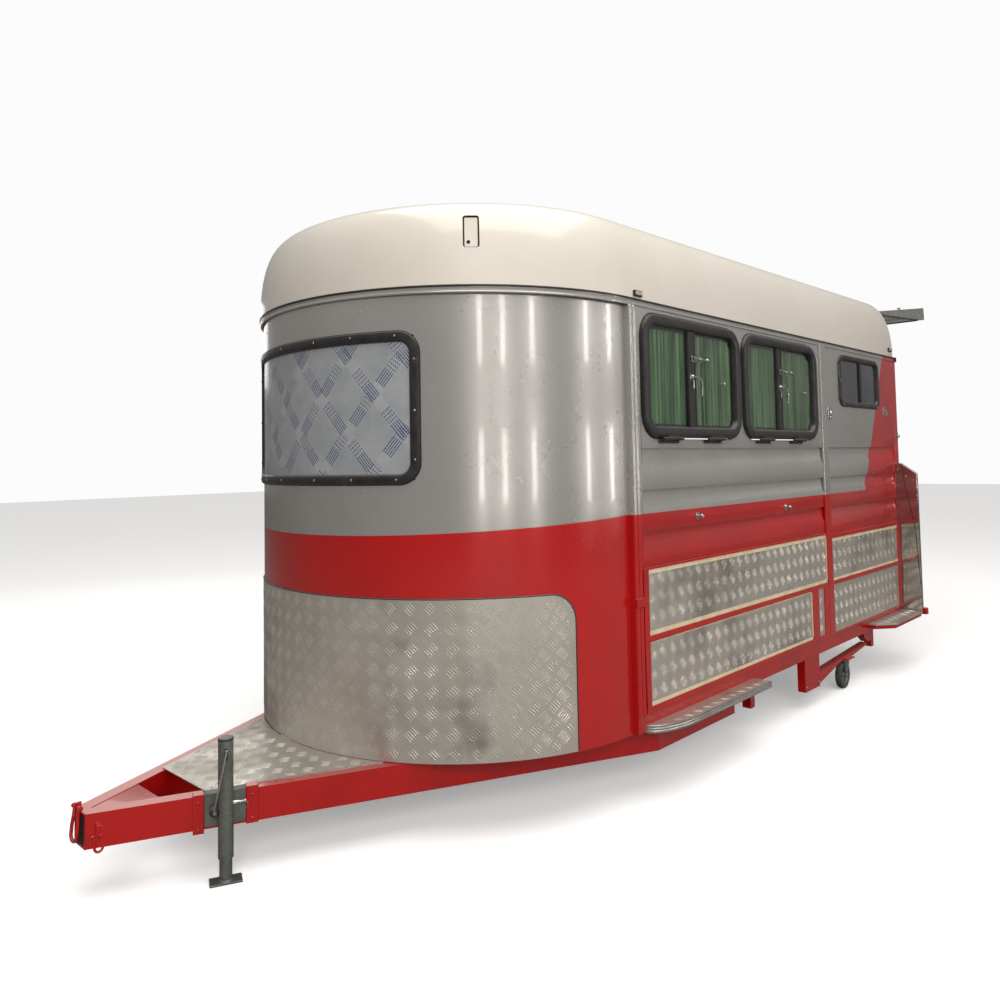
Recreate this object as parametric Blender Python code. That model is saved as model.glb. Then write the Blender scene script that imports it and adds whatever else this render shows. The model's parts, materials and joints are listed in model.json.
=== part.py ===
"""Slant-load horse trailer, parked on its drawbar jack and two workshop casters.

Metres, +Z up. The drawbar points to -Y and the trailer's left side is +X. The origin is on the
ground, under the middle of the whole length. Lengthwise places are stations, measured rearward
from the front corners of the box.
"""
import math

import bmesh
import bpy
from mathutils import Matrix, Vector

for old in list(bpy.data.objects):
    bpy.data.objects.remove(old, do_unlink=True)

# ---- driving dimensions -------------------------------------------------------------------
TRIM_Y = -1.440             # world Y of station 0, the front corners of the box
BODY_LENGTH = 3.69          # station 0 to the rear face
HALF_WIDTH = 1.10           # centre plane to a side wall's outer face
NOSE_RADIUS = HALF_WIDTH - 0.025   # outer face of the half-round nose wall
WALL = 0.032                # thickness of every body wall
GAP = 0.0003                # between pieces that touch
CLEAR = 0.006               # between pieces that move past each other

SILL_Z = 0.317              # underside of the body frame
RING_DEPTH = 0.080          # body frame section, height
RING_WIDTH = 0.050          # body frame section, width
FLOOR_THICKNESS = 0.030
KICK_TOP_Z = 1.070          # top of the plated lower boards
SEAM_Z = 2.330              # top of the walls, where the roof cap starts
MIDDLE_JOINT = 2.235        # station where front and rear wall panels meet
CORNER_POST = 0.060         # length of the corner trims along the side

ARM_WIDTH = 0.060
ARM_DEPTH = 0.127
TIP_STATION = -2.010
TIP_HALF_WIDTH = 0.050
ARM_SPREAD = 0.460          # outward run of an arm for each metre rearward
ARM_END_STATION = 0.960
DECK_FRONT_STATION = -1.620
DECK_THICKNESS = 0.004

GUARD_TOP_Z = 1.000
GUARD_ANGLE = math.radians(71.5)
GUARD_THICKNESS = 0.004
NOSE_WINDOW_ANGLE = math.radians(35.6)
NOSE_WINDOW_Z = (1.485, 2.145)
NOSE_FRAME_WIDTH = 0.045
NOSE_STEP = math.radians(3.75)

WINDOW_Z = (1.676, 2.278)
WINDOW_STATIONS = ((0.099, 1.064), (1.109, 2.113))
WINDOW_FRAME_WIDTH = 0.056
WINDOW_CORNER = 0.115
REAR_WINDOW_STATIONS = (2.516, 3.285)
REAR_WINDOW_Z = (1.908, 2.271)
DOOR_STATIONS = (0.110, 0.810)
DOOR_TOP_Z = 2.270

SWAGE_Z = ((1.140, 1.235), (1.335, 1.4275), (1.525, 1.625))
SWAGE_DEPTH = 0.012

ROOF_RISE = 0.415
ROOF_SHOULDER = 0.336       # how far in from its edge the roof is still rounding over
ROOF_REAR_ROUND = 0.450
ROOF_THICKNESS = 0.020
ROOF_SLOPE = 0.022          # growth of the rise for each metre rearward
ROOF_OVERHANG = 0.005
GUTTER = 0.030
GUTTER_PROUD = 0.014

PORTAL_DEPTH = 0.070
PORTAL_TOP_Z = 2.690
PORTAL_UPPER_HALF = HALF_WIDTH - 0.115
OPENING_HALF = HALF_WIDTH - 0.160
OPENING_TOP_Z = 2.620

TAIL_DOOR_LENGTH = 1.200
TAIL_DOOR_THIN = 0.022
TAIL_DOOR_THICK = 0.105
TAIL_DOOR_RAISED = math.radians(94.0)
RAMP_THICKNESS = 0.050
RAMP_HINGE_Z = 0.345
RAMP_HINGE_RADIUS = 0.018

CASTER_X = HALF_WIDTH - 0.040
CASTER_STATION = 2.530
CASTER_TRAIL = 0.040
CASTER_RADIUS = 0.090
CASTER_WIDTH = 0.040

JACK_STATION = -1.571
JACK_TUBE_RADIUS = 0.0285
JACK_TUBE_WALL = 0.0035
JACK_TOP_Z = 0.540
JACK_TUBE_BOTTOM_Z = 0.090
JACK_PIVOT_Z = 0.255
JACK_FOOT_HALF = (0.060, 0.033)   # along the arm, across it
JACK_FOOT_THICKNESS = 0.008


# ---- shared geometry ----------------------------------------------------------------------
def at(station):
    """World Y of a station."""
    return TRIM_Y + station


def finish(name, colour, roughness, metallic=0.0):
    """A Principled material."""
    material = bpy.data.materials.new(name)
    material.use_nodes = True
    shader = material.node_tree.nodes["Principled BSDF"]
    shader.inputs["Base Color"].default_value = (*colour, 1.0)
    shader.inputs["Roughness"].default_value = roughness
    shader.inputs["Metallic"].default_value = metallic
    return material


RED = finish("red_enamel", (0.40, 0.010, 0.010), 0.25)
SILVER = finish("silver_enamel", (0.36, 0.35, 0.34), 0.32, 0.4)
CREAM = finish("cream_gelcoat", (0.66, 0.62, 0.56), 0.22)
TREAD_PLATE = finish("tread_plate", (0.50, 0.48, 0.45), 0.30, 1.0)
BLACK_RUBBER = finish("black_rubber", (0.015, 0.015, 0.015), 0.55)
TINTED_GLASS = finish("tinted_glass", (0.03, 0.08, 0.05), 0.08)
GALVANISED = finish("galvanised_steel", (0.22, 0.25, 0.25), 0.55, 0.8)
PLYWOOD = finish("floor_board", (0.18, 0.12, 0.08), 0.7)
CASTER_RUBBER = finish("caster_rubber", (0.04, 0.04, 0.035), 0.7)
ALUMINIUM = finish("aluminium_strip", (0.62, 0.62, 0.60), 0.35, 1.0)


def to_object(name, mesh_builder, material, pivot=None):
    """Turn a bmesh in world coordinates into a named object whose origin is its pivot."""
    bmesh.ops.remove_doubles(mesh_builder, verts=mesh_builder.verts, dist=1e-6)
    bmesh.ops.recalc_face_normals(mesh_builder, faces=mesh_builder.faces)
    origin = Vector(pivot) if pivot else Vector()
    bmesh.ops.translate(mesh_builder, verts=mesh_builder.verts, vec=-origin)
    mesh = bpy.data.meshes.new(name)
    mesh_builder.to_mesh(mesh)
    mesh_builder.free()
    mesh.shade_smooth()
    mesh.set_sharp_from_angle(angle=math.radians(28))
    mesh.materials.append(material)
    body = bpy.data.objects.new(name, mesh)
    body.location = origin
    bpy.context.scene.collection.objects.link(body)
    return body


def prism(outline, axis, low, high):
    """A closed outline pushed along an axis: (x, y) along Z, (x, z) along Y, (y, z) along X."""
    builder = bmesh.new()
    place = {
        "X": lambda a, b, c: (c, a, b),
        "Y": lambda a, b, c: (a, c, b),
        "Z": lambda a, b, c: (a, b, c),
    }[axis]
    bottom = [builder.verts.new(place(a, b, low)) for a, b in outline]
    top = [builder.verts.new(place(a, b, high)) for a, b in outline]
    builder.faces.new(bottom)
    builder.faces.new(top)
    for i in range(len(outline)):
        j = (i + 1) % len(outline)
        builder.faces.new((bottom[i], bottom[j], top[j], top[i]))
    return builder


def block(x, y, z):
    """A box between three pairs of limits."""
    corners = [(x[0], y[0]), (x[1], y[0]), (x[1], y[1]), (x[0], y[1])]
    return prism(corners, "Z", min(z), max(z))


def arc(centre, radius, start, stop, steps):
    """Points along an arc, ends included, angles in radians."""
    points = []
    for i in range(steps + 1):
        angle = start + (stop - start) * i / steps
        points.append((centre[0] + radius * math.cos(angle), centre[1] + radius * math.sin(angle)))
    return points


def rounded(a, b, radius, steps=4):
    """A rectangle between limits a and b with rounded corners."""
    quarter = math.pi / 2
    inner = ((a[1] - radius, b[1] - radius), (a[0] + radius, b[1] - radius),
             (a[0] + radius, b[0] + radius), (a[1] - radius, b[0] + radius))
    points = []
    for corner, centre in enumerate(inner):
        points += arc(centre, radius, corner * quarter, (corner + 1) * quarter, steps)
    return points


def rod(start, end, radius, steps=16):
    """A round bar between two points."""
    builder = bmesh.new()
    start, end = Vector(start), Vector(end)
    span = end - start
    turn = span.to_track_quat("Z", "Y").to_matrix().to_4x4()
    place = Matrix.Translation((start + end) / 2) @ turn
    bmesh.ops.create_cone(builder, cap_ends=True, segments=steps, radius1=radius, radius2=radius,
                          depth=span.length, matrix=place)
    return builder


def tool(body):
    """Mark an object as a cutter or an added shape that is not a piece itself."""
    body.hide_render = True
    body.display_type = "WIRE"
    return body


def shape_with(body, operation, builder):
    """Add a shape to a body, or take it away."""
    operand = tool(to_object(f"{body.name}_tool", builder, body.data.materials[0]))
    change = body.modifiers.new(operation.lower(), "BOOLEAN")
    change.operation = operation
    change.object = operand
    return body


def cut(body, *builders):
    """Take shapes away from a body."""
    for builder in builders:
        shape_with(body, "DIFFERENCE", builder)
    return body


def weld(body, *builders):
    """Join shapes to a body."""
    for builder in builders:
        shape_with(body, "UNION", builder)
    return body


def sided(side, low, high):
    """Limits on one side of the trailer, in rising order."""
    return tuple(sorted((side * low, side * high)))


def outside(radius, step):
    """Vertex radius of a faceted shell that stays one gap outside a round face."""
    return (radius + GAP) / math.cos(step / 2)


def inside(radius, step):
    """Vertex radius of a round piece that stays one gap inside a faceted shell."""
    return radius * math.cos(step / 2) - GAP


SIDES = (("left", 1), ("right", -1))
RING_TOP_Z = SILL_Z + RING_DEPTH
FLOOR_TOP_Z = RING_TOP_Z + GAP + FLOOR_THICKNESS
NOSE_INNER = NOSE_RADIUS - WALL
FLOOR_RADIUS = inside(NOSE_INNER, NOSE_STEP)
SIDE_INNER = HALF_WIDTH - WALL
NOSE_STEPS = round(math.pi / NOSE_STEP)


def body_outline(half_width, nose_radius, rear_station, nose_end=0.0):
    """Plan outline of the box: half-round nose, straight sides and a square rear."""
    nose = arc((0.0, at(0.0)), nose_radius, math.pi, 2 * math.pi, NOSE_STEPS)
    points = [(-half_width, at(rear_station))]
    if half_width - nose_radius > 1e-6:
        points.append((-half_width, at(nose_end)))
    points += nose
    if half_width - nose_radius > 1e-6:
        points.append((half_width, at(nose_end)))
    points.append((half_width, at(rear_station)))
    return points


# ---- drawbar ------------------------------------------------------------------------------
def arm_half_width(station):
    """Centre plane to the outer face of a drawbar arm."""
    return TIP_HALF_WIDTH + ARM_SPREAD * (station - TIP_STATION)


ARM_TOP_Z = SILL_Z - GAP
ARM_BOTTOM_Z = ARM_TOP_Z - ARM_DEPTH
ARM_RUN_X = HALF_WIDTH - 0.030
ARM_ANGLE = math.atan(ARM_SPREAD)
ARM_SLANT_WIDTH = ARM_WIDTH / math.cos(ARM_ANGLE)


def drawbar_frame():
    """Two welded box arms that meet at the tip, spread under the nose and run along the sills."""
    bend = TIP_STATION + (ARM_RUN_X - TIP_HALF_WIDTH) / ARM_SPREAD
    inner_bend = bend + (ARM_SLANT_WIDTH - ARM_WIDTH) / ARM_SPREAD
    crotch = TIP_STATION + (ARM_SLANT_WIDTH - TIP_HALF_WIDTH) / ARM_SPREAD
    half = [(TIP_HALF_WIDTH, TIP_STATION), (ARM_RUN_X, bend), (ARM_RUN_X, ARM_END_STATION),
            (ARM_RUN_X - ARM_WIDTH, ARM_END_STATION), (ARM_RUN_X - ARM_WIDTH, inner_bend)]
    outline = [(x, at(s)) for x, s in half]
    outline.append((0.0, at(crotch)))
    outline += [(-x, at(s)) for x, s in reversed(half)]
    frame = to_object("drawbar_frame", prism(outline, "Z", ARM_BOTTOM_Z, ARM_TOP_Z), RED)
    gusset_end = -1.760
    gusset = [(-0.9 * arm_half_width(gusset_end), at(gusset_end)),
              (-0.02, at(TIP_STATION + 0.01)), (0.02, at(TIP_STATION + 0.01)),
              (0.9 * arm_half_width(gusset_end), at(gusset_end))]
    plate = 0.008
    weld(frame, prism(gusset, "Z", ARM_TOP_Z - 0.002 - plate, ARM_TOP_Z - 0.002))
    cross_z = (ARM_BOTTOM_Z + 0.02, ARM_TOP_Z - 0.005)
    for station, depth in ((DECK_FRONT_STATION + 0.03, 0.008), (-0.70, 0.05), (0.40, 0.05)):
        reach = min(arm_half_width(station), ARM_RUN_X) - ARM_WIDTH / 2
        weld(frame, block((-reach, reach), (at(station), at(station) + depth), cross_z))
    return frame


def drawbar_deck():
    """Tread plate laid over the arms, from its front edge back to the stone guard."""
    overlap = 0.045
    edge = NOSE_RADIUS + GUARD_THICKNESS + 0.003
    stop_angle = math.radians(26)
    side_x = edge * math.sin(stop_angle)
    side_station = -edge * math.cos(stop_angle)
    front_x = arm_half_width(DECK_FRONT_STATION) - overlap
    rear_x = arm_half_width(side_station) - overlap
    curve_steps = 14
    rim = arc((0.0, at(0.0)), outside(edge, stop_angle * 2 / curve_steps),
              -math.pi / 2 + stop_angle, -math.pi / 2 - stop_angle, curve_steps)
    outline = [(-front_x, at(DECK_FRONT_STATION)), (front_x, at(DECK_FRONT_STATION))]
    if rear_x > side_x:
        outline.append((side_x, at(side_station)))
    outline += rim
    return to_object("drawbar_deck", prism(outline, "Z", SILL_Z, SILL_Z + DECK_THICKNESS), TREAD_PLATE)


# ---- underframe ---------------------------------------------------------------------------
HANGER_X = (CASTER_X - 0.025, CASTER_X + 0.025)
FRONT_HANGER_STATION = 1.140
CENTRE_HANGER_STATION = 1.950
REAR_HANGER_STATION = 2.960
CROSS_STATIONS = (0.30, 0.95, 1.60, 2.25, 2.90)


def underframe():
    """Welded ring under the box with its crossmembers and the bare spring hangers."""
    outer = body_outline(HALF_WIDTH, FLOOR_RADIUS, BODY_LENGTH, 0.002)
    ring = to_object("underframe", prism(outer, "Z", SILL_Z, RING_TOP_Z), RED)
    hole = body_outline(HALF_WIDTH - RING_WIDTH, FLOOR_RADIUS - RING_WIDTH,
                        BODY_LENGTH - RING_WIDTH, 0.05)
    cut(ring, prism(hole, "Z", SILL_Z - 0.05, RING_TOP_Z + 0.05))
    reach = HALF_WIDTH - RING_WIDTH / 2
    for station in CROSS_STATIONS:
        weld(ring, block((-reach, reach), (at(station), at(station) + 0.05),
                         (SILL_Z + 0.004, RING_TOP_Z - 0.004)))
    for _, side in SIDES:
        x = sided(side, *HANGER_X)
        embed = SILL_Z + 0.02
        front = at(FRONT_HANGER_STATION)
        weld(ring, block(x, (front - 0.025, front + 0.025), (0.180, embed)))
        centre = at(CENTRE_HANGER_STATION)
        weld(ring, block(x, (centre - 0.11, centre + 0.11), (0.110, embed)))
        cut(ring, block(sided(side, HANGER_X[0] - 0.01, HANGER_X[1] - 0.008),
                        (centre - 0.100, centre + 0.085), (0.100, SILL_Z - 0.004)))
        rear = at(REAR_HANGER_STATION)
        shoe = [(rear - 0.12, embed), (rear - 0.12, 0.285), (rear - 0.05, 0.240),
                (rear + 0.01, 0.245), (rear + 0.015, 0.195), (rear + 0.06, 0.195), (rear + 0.06, embed)]
        weld(ring, prism(shoe, "X", *x))
    return ring


def floor():
    """Resin-faced boards on the crossmembers, rounded to the nose."""
    outline = body_outline(SIDE_INNER - GAP, FLOOR_RADIUS, BODY_LENGTH - PORTAL_DEPTH - GAP, CORNER_POST)
    return to_object("floor", prism(outline, "Z", RING_TOP_Z + GAP, FLOOR_TOP_Z), PLYWOOD)


# ---- nose ---------------------------------------------------------------------------------
def around_nose(angle, radius):
    """Plan point on the nose: angle 0 is dead ahead and grows to the trailer's left."""
    return radius * math.sin(angle), at(0.0) - radius * math.cos(angle)


def bent_strip(stations, inner, outer):
    """A sheet wrapped round the nose from (angle, low, high) stations."""
    builder = bmesh.new()
    loops = []
    for angle, low, high in stations:
        near = around_nose(angle, inner)
        far = around_nose(angle, outer)
        corners = ((*near, low), (*far, low), (*far, high), (*near, high))
        loops.append([builder.verts.new(corner) for corner in corners])
    for first, second in zip(loops, loops[1:]):
        for i in range(4):
            j = (i + 1) % 4
            builder.faces.new((first[i], first[j], second[j], second[i]))
    builder.faces.new(loops[0])
    builder.faces.new(list(reversed(loops[-1])))
    return builder


def rounded_stations(half_angle, z, radius, round_bottom, steps=36, corner_steps=5):
    """Stations of a wrapped rectangle whose corners are rounded, seen from outside."""
    turn = radius / NOSE_RADIUS
    ramp = []
    for i in range(corner_steps + 1):
        share = i / corner_steps * math.pi / 2
        ramp.append((turn * (1 - math.cos(share)), radius * (1 - math.sin(share))))
    edge = [(-half_angle + angle, drop) for angle, drop in ramp]
    inner_start = -half_angle + turn
    span = 2 * (half_angle - turn)
    middle = [(inner_start + span * i / steps, 0.0) for i in range(1, steps)]
    line = edge + middle + [(-angle, drop) for angle, drop in reversed(edge)]
    return [(angle, z[0] + (drop if round_bottom else 0.0), z[1] - drop) for angle, drop in line]


def nose_wall():
    """Half-round front wall with its window opening."""
    outline = arc((0.0, at(0.0)), NOSE_RADIUS, math.pi, 2 * math.pi, NOSE_STEPS)
    outline += arc((0.0, at(0.0)), NOSE_INNER, 2 * math.pi, math.pi, NOSE_STEPS)
    wall = to_object("nose_wall", prism(outline, "Z", SILL_Z, SEAM_Z), SILVER)
    half = NOSE_RADIUS * math.sin(NOSE_WINDOW_ANGLE) - NOSE_FRAME_WIDTH * 0.6
    z = (NOSE_WINDOW_Z[0] + NOSE_FRAME_WIDTH * 0.7, NOSE_WINDOW_Z[1] - NOSE_FRAME_WIDTH * 0.7)
    reach = (at(-NOSE_RADIUS - 0.05), at(-0.55))
    return cut(wall, prism(rounded((-half, half), z, 0.04), "Y", *reach))


def nose_window_frame():
    """Rubber and steel surround clamped round the nose window."""
    frame_steps = 36
    step = 2 * NOSE_WINDOW_ANGLE / frame_steps
    inner = outside(NOSE_RADIUS, step)
    stations = rounded_stations(NOSE_WINDOW_ANGLE, NOSE_WINDOW_Z, 0.06, True)
    frame = to_object("nose_window_frame", bent_strip(stations, inner, inner + 0.014), BLACK_RUBBER)
    width = NOSE_FRAME_WIDTH
    z = (NOSE_WINDOW_Z[0] + width, NOSE_WINDOW_Z[1] - width)
    opening = rounded_stations(NOSE_WINDOW_ANGLE - width / NOSE_RADIUS, z, 0.03, True)
    return cut(frame, bent_strip(opening, NOSE_RADIUS - 0.02, NOSE_RADIUS + 0.05))


def nose_window_pane():
    """Curved pane inside the wall opening."""
    half = NOSE_WINDOW_ANGLE - NOSE_FRAME_WIDTH / NOSE_RADIUS
    z = (NOSE_WINDOW_Z[0] + NOSE_FRAME_WIDTH, NOSE_WINDOW_Z[1] - NOSE_FRAME_WIDTH)
    stations = rounded_stations(half, z, 0.03, True)
    return to_object("nose_window_pane", bent_strip(stations, NOSE_RADIUS - 0.012, NOSE_RADIUS - 0.007),
                     TINTED_GLASS)


def stone_guard():
    """Tread plate wrapped round the foot of the nose."""
    steps = 48
    inner = outside(NOSE_RADIUS, 2 * GUARD_ANGLE / steps)
    stations = rounded_stations(GUARD_ANGLE, (SILL_Z + DECK_THICKNESS + 0.001, GUARD_TOP_Z), 0.12, False,
                                steps)
    return to_object("stone_guard", bent_strip(stations, inner, inner + GUARD_THICKNESS), TREAD_PLATE)


# ---- side walls ---------------------------------------------------------------------------
def corner_trim(name, side):
    """Corner post with two half-round ribs, where the nose meets the side."""
    rib = 0.013
    start, end = at(GAP), at(CORNER_POST - GAP)
    quarter = math.pi / 2
    ribs = []
    for centre in (start + rib + 0.002, end - rib - 0.002):
        ribs += [(HALF_WIDTH + a, b) for a, b in arc((0.0, centre), rib, -quarter, quarter, 8)]
    outline = [(NOSE_INNER, start), (HALF_WIDTH, start)] + ribs + [(HALF_WIDTH, end), (SIDE_INNER, end)]
    outline = [(side * x, y) for x, y in outline]
    return to_object(name, prism(outline, "Z", RING_TOP_Z + GAP, SEAM_Z - GUTTER), RED)


def wall_panel(name, side, stations, z, material):
    """One flat sandwich panel of a side wall."""
    outline = [(at(stations[0]), z[0]), (at(stations[1]), z[0]),
               (at(stations[1]), z[1]), (at(stations[0]), z[1])]
    return to_object(name, prism(outline, "X", *sided(side, SIDE_INNER, HALF_WIDTH)), material)


def swage_cutter(side, stations, z):
    """Wedge that presses a swage into a panel: steep at the top, sloped at the bottom."""
    deep = HALF_WIDTH - SWAGE_DEPTH
    proud = HALF_WIDTH + 0.01
    slope = 0.35 * (z[1] - z[0])
    section = [(proud, z[0]), (HALF_WIDTH, z[0]), (deep, z[0] + slope), (deep, z[1] - 0.006),
               (HALF_WIDTH, z[1]), (proud, z[1])]
    return prism([(side * x, height) for x, height in section], "Y", at(stations[0]), at(stations[1]))


def opening_cutter(side, stations, z, radius):
    """Through hole in a side wall with rounded corners."""
    outline = rounded((at(stations[0]), at(stations[1])), z, radius)
    return prism(outline, "X", *sided(side, SIDE_INNER - 0.05, HALF_WIDTH + 0.05))


def grown(limits, margin):
    """Limits moved apart by a margin at each end."""
    return limits[0] - margin, limits[1] + margin


FRONT_PANEL = (CORNER_POST, MIDDLE_JOINT - GAP / 2)
REAR_PANEL = (MIDDLE_JOINT + GAP / 2, BODY_LENGTH - PORTAL_DEPTH - GAP)
UPPER_Z = (KICK_TOP_Z + GAP / 2, SEAM_Z)
LOWER_Z = (RING_TOP_Z + GAP, KICK_TOP_Z - GAP / 2)
DOOR_Z = (FLOOR_TOP_Z + 0.010, DOOR_TOP_Z)


def side_walls(label, side):
    """Front and rear panels of one side, above and below the kick line."""
    upper = wall_panel(f"{label}_front_wall", side, FRONT_PANEL, UPPER_Z, SILVER)
    lower = wall_panel(f"{label}_front_kick_board", side, FRONT_PANEL, LOWER_Z, RED)
    swage_margin = 0.025
    first_swage = FRONT_PANEL[0] + swage_margin
    windows = WINDOW_STATIONS
    if side < 0:
        windows = WINDOW_STATIONS[1:]
        first_swage = DOOR_STATIONS[1] + 0.05
        door = opening_cutter(side, grown(DOOR_STATIONS, CLEAR), grown(DOOR_Z, CLEAR), 0.02)
        cut(upper, door)
        cut(lower, opening_cutter(side, grown(DOOR_STATIONS, CLEAR), grown(DOOR_Z, CLEAR), 0.02))
    for stations in windows:
        cut(upper, opening_cutter(side, grown(stations, CLEAR), grown(WINDOW_Z, CLEAR), WINDOW_CORNER + CLEAR))
    for z in SWAGE_Z:
        cut(upper, swage_cutter(side, (first_swage, FRONT_PANEL[1] - swage_margin), z))
    rear_upper = wall_panel(f"{label}_rear_wall", side, REAR_PANEL, UPPER_Z, SILVER)
    wall_panel(f"{label}_rear_kick_board", side, REAR_PANEL, LOWER_Z, RED)
    inner = (REAR_WINDOW_STATIONS[0] + 0.020, REAR_WINDOW_STATIONS[1] - 0.020)
    inner_z = (REAR_WINDOW_Z[0] + 0.020, REAR_WINDOW_Z[1] - 0.020)
    cut(rear_upper, opening_cutter(side, inner, inner_z, 0.04))
    for z in SWAGE_Z:
        cut(rear_upper, swage_cutter(side, (REAR_PANEL[0] + swage_margin, REAR_PANEL[1] - swage_margin), z))


def rear_window(name, side):
    """Fixed rear side window: flange outside, pane inside the opening."""
    flange_face = HALF_WIDTH + GAP
    outline = rounded((at(REAR_WINDOW_STATIONS[0]), at(REAR_WINDOW_STATIONS[1])), REAR_WINDOW_Z, 0.05)
    frame = to_object(name, prism(outline, "X", *sided(side, flange_face, flange_face + 0.012)), BLACK_RUBBER)
    inner = rounded((at(REAR_WINDOW_STATIONS[0] + 0.035), at(REAR_WINDOW_STATIONS[1] - 0.035)),
                    (REAR_WINDOW_Z[0] + 0.035, REAR_WINDOW_Z[1] - 0.035), 0.03)
    cut(frame, prism(inner, "X", *sided(side, flange_face - 0.01, flange_face + 0.03)))
    plug = rounded((at(REAR_WINDOW_STATIONS[0] + 0.022), at(REAR_WINDOW_STATIONS[1] - 0.022)),
                   (REAR_WINDOW_Z[0] + 0.022, REAR_WINDOW_Z[1] - 0.022), 0.038)
    return weld(frame, prism(plug, "X", *sided(side, HALF_WIDTH - 0.012, flange_face + 0.004)))


# ---- drop windows -------------------------------------------------------------------------
LEAF_X = (HALF_WIDTH - 0.018, HALF_WIDTH + 0.022)
LEAF_HINGE = (HALF_WIDTH + 0.030, WINDOW_Z[0] - 0.004)
LEAF_HINGE_LENGTH = 0.180


def drop_window(name, side, stations):
    """Drop-down window leaf with its centre bar, pane and two hinge barrels."""
    span = (at(stations[0]), at(stations[1]))
    pivot = (side * LEAF_HINGE[0], sum(span) / 2, LEAF_HINGE[1])
    leaf = to_object(name, prism(rounded(span, WINDOW_Z, WINDOW_CORNER), "X", *sided(side, *LEAF_X)),
                     BLACK_RUBBER, pivot)
    width = WINDOW_FRAME_WIDTH
    middle = sum(span) / 2
    bar = 0.018
    z = (WINDOW_Z[0] + width, WINDOW_Z[1] - width)
    corner = WINDOW_CORNER - width
    for light in ((span[0] + width, middle - bar), (middle + bar, span[1] - width)):
        front = prism(rounded(light, z, corner), "X", *sided(side, HALF_WIDTH + 0.004, LEAF_X[1] + 0.01))
        back = prism(rounded(light, z, corner), "X", *sided(side, LEAF_X[0] - 0.01, HALF_WIDTH - 0.002))
        cut(leaf, front, back)
    for share in (0.25, 0.75):
        centre = span[0] + share * (span[1] - span[0])
        half = LEAF_HINGE_LENGTH / 2
        weld(leaf, block(sided(side, LEAF_X[1] - 0.012, LEAF_HINGE[0]), (centre - half, centre + half),
                         (LEAF_HINGE[1] - 0.004, WINDOW_Z[0] + 0.020)))
        weld(leaf, rod((pivot[0], centre - half, pivot[2]), (pivot[0], centre + half, pivot[2]), 0.008))
    return leaf


# ---- groom's door -------------------------------------------------------------------------
DOOR_CORNER = 0.020
DOOR_KNUCKLE_RADIUS = 0.009
DOOR_KNUCKLE_HALF = 0.040
DOOR_KNUCKLE_INSET = 0.300    # from the door's foot and head to a knuckle's middle
DOOR_PIVOT_PROUD = 0.014


def groom_door():
    """Walk-in door on the right, hung at its front edge."""
    side = -1
    pivot = (side * (HALF_WIDTH + DOOR_PIVOT_PROUD), at(DOOR_STATIONS[0]) - 0.002, (DOOR_Z[0] + DOOR_Z[1]) / 2)
    outline = rounded((at(DOOR_STATIONS[0]), at(DOOR_STATIONS[1])), DOOR_Z, DOOR_CORNER)
    door = to_object("groom_door", prism(outline, "X", *sided(side, SIDE_INNER, HALF_WIDTH)), SILVER, pivot)
    for z in SWAGE_Z:
        cut(door, swage_cutter(side, (DOOR_STATIONS[0] + 0.05, DOOR_STATIONS[1] - 0.05), z))
    half = DOOR_KNUCKLE_HALF
    for z in (DOOR_Z[0] + DOOR_KNUCKLE_INSET, DOOR_Z[1] - DOOR_KNUCKLE_INSET):
        weld(door, rod((pivot[0], pivot[1], z - half), (pivot[0], pivot[1], z + half), DOOR_KNUCKLE_RADIUS))
        weld(door, block(sided(side, HALF_WIDTH - 0.004, HALF_WIDTH + DOOR_PIVOT_PROUD + 0.002),
                         (pivot[1], at(DOOR_STATIONS[0]) + 0.05), (z - half, z + half)))
    return door


# ---- rear portal and roof -----------------------------------------------------------------
PORTAL_CORNER = 0.120
OPENING_CORNER = 0.060
ROOF_REAR_CORNER = 0.080


def portal_outline(margin):
    """Rear face outline of the portal, grown by a margin above the seam."""
    upper = PORTAL_UPPER_HALF + margin
    crown = PORTAL_TOP_Z + margin
    radius = PORTAL_CORNER + margin
    quarter = math.pi / 2
    left = arc((upper - radius, crown - radius), radius, 0.0, quarter, 6)
    right = arc((radius - upper, crown - radius), radius, quarter, 2 * quarter, 6)
    return left + right


STRUT_X = OPENING_HALF - 0.026
STRUT_BASE = (BODY_LENGTH - 0.050, 1.850)
STRUT_BRACKET_HALF = (0.018, 0.030)   # lengthwise, upright


def rear_portal():
    """Welded frame round the rear opening, with the lower strut brackets."""
    low = RING_TOP_Z + GAP
    shoulder = SEAM_Z + ROOF_OVERHANG - GAP
    outline = [(-HALF_WIDTH, low), (HALF_WIDTH, low), (HALF_WIDTH, shoulder), (PORTAL_UPPER_HALF, shoulder)]
    outline += portal_outline(0.0)
    outline += [(-PORTAL_UPPER_HALF, shoulder), (-HALF_WIDTH, shoulder)]
    depth = (at(BODY_LENGTH - PORTAL_DEPTH), at(BODY_LENGTH))
    portal = to_object("rear_portal", prism(outline, "Y", *depth), RED)
    hole = rounded((-OPENING_HALF, OPENING_HALF), (FLOOR_TOP_Z + 0.010, OPENING_TOP_Z), OPENING_CORNER)
    cut(portal, prism(hole, "Y", *grown(depth, 0.05)))
    for _, side in SIDES:
        y = at(STRUT_BASE[0])
        weld(portal, block(sided(side, STRUT_X + 0.015, OPENING_HALF + 0.010),
                           (y - STRUT_BRACKET_HALF[0], y + STRUT_BRACKET_HALF[0]),
                           (STRUT_BASE[1] - STRUT_BRACKET_HALF[1], STRUT_BASE[1] + STRUT_BRACKET_HALF[1])))
    return portal


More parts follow.
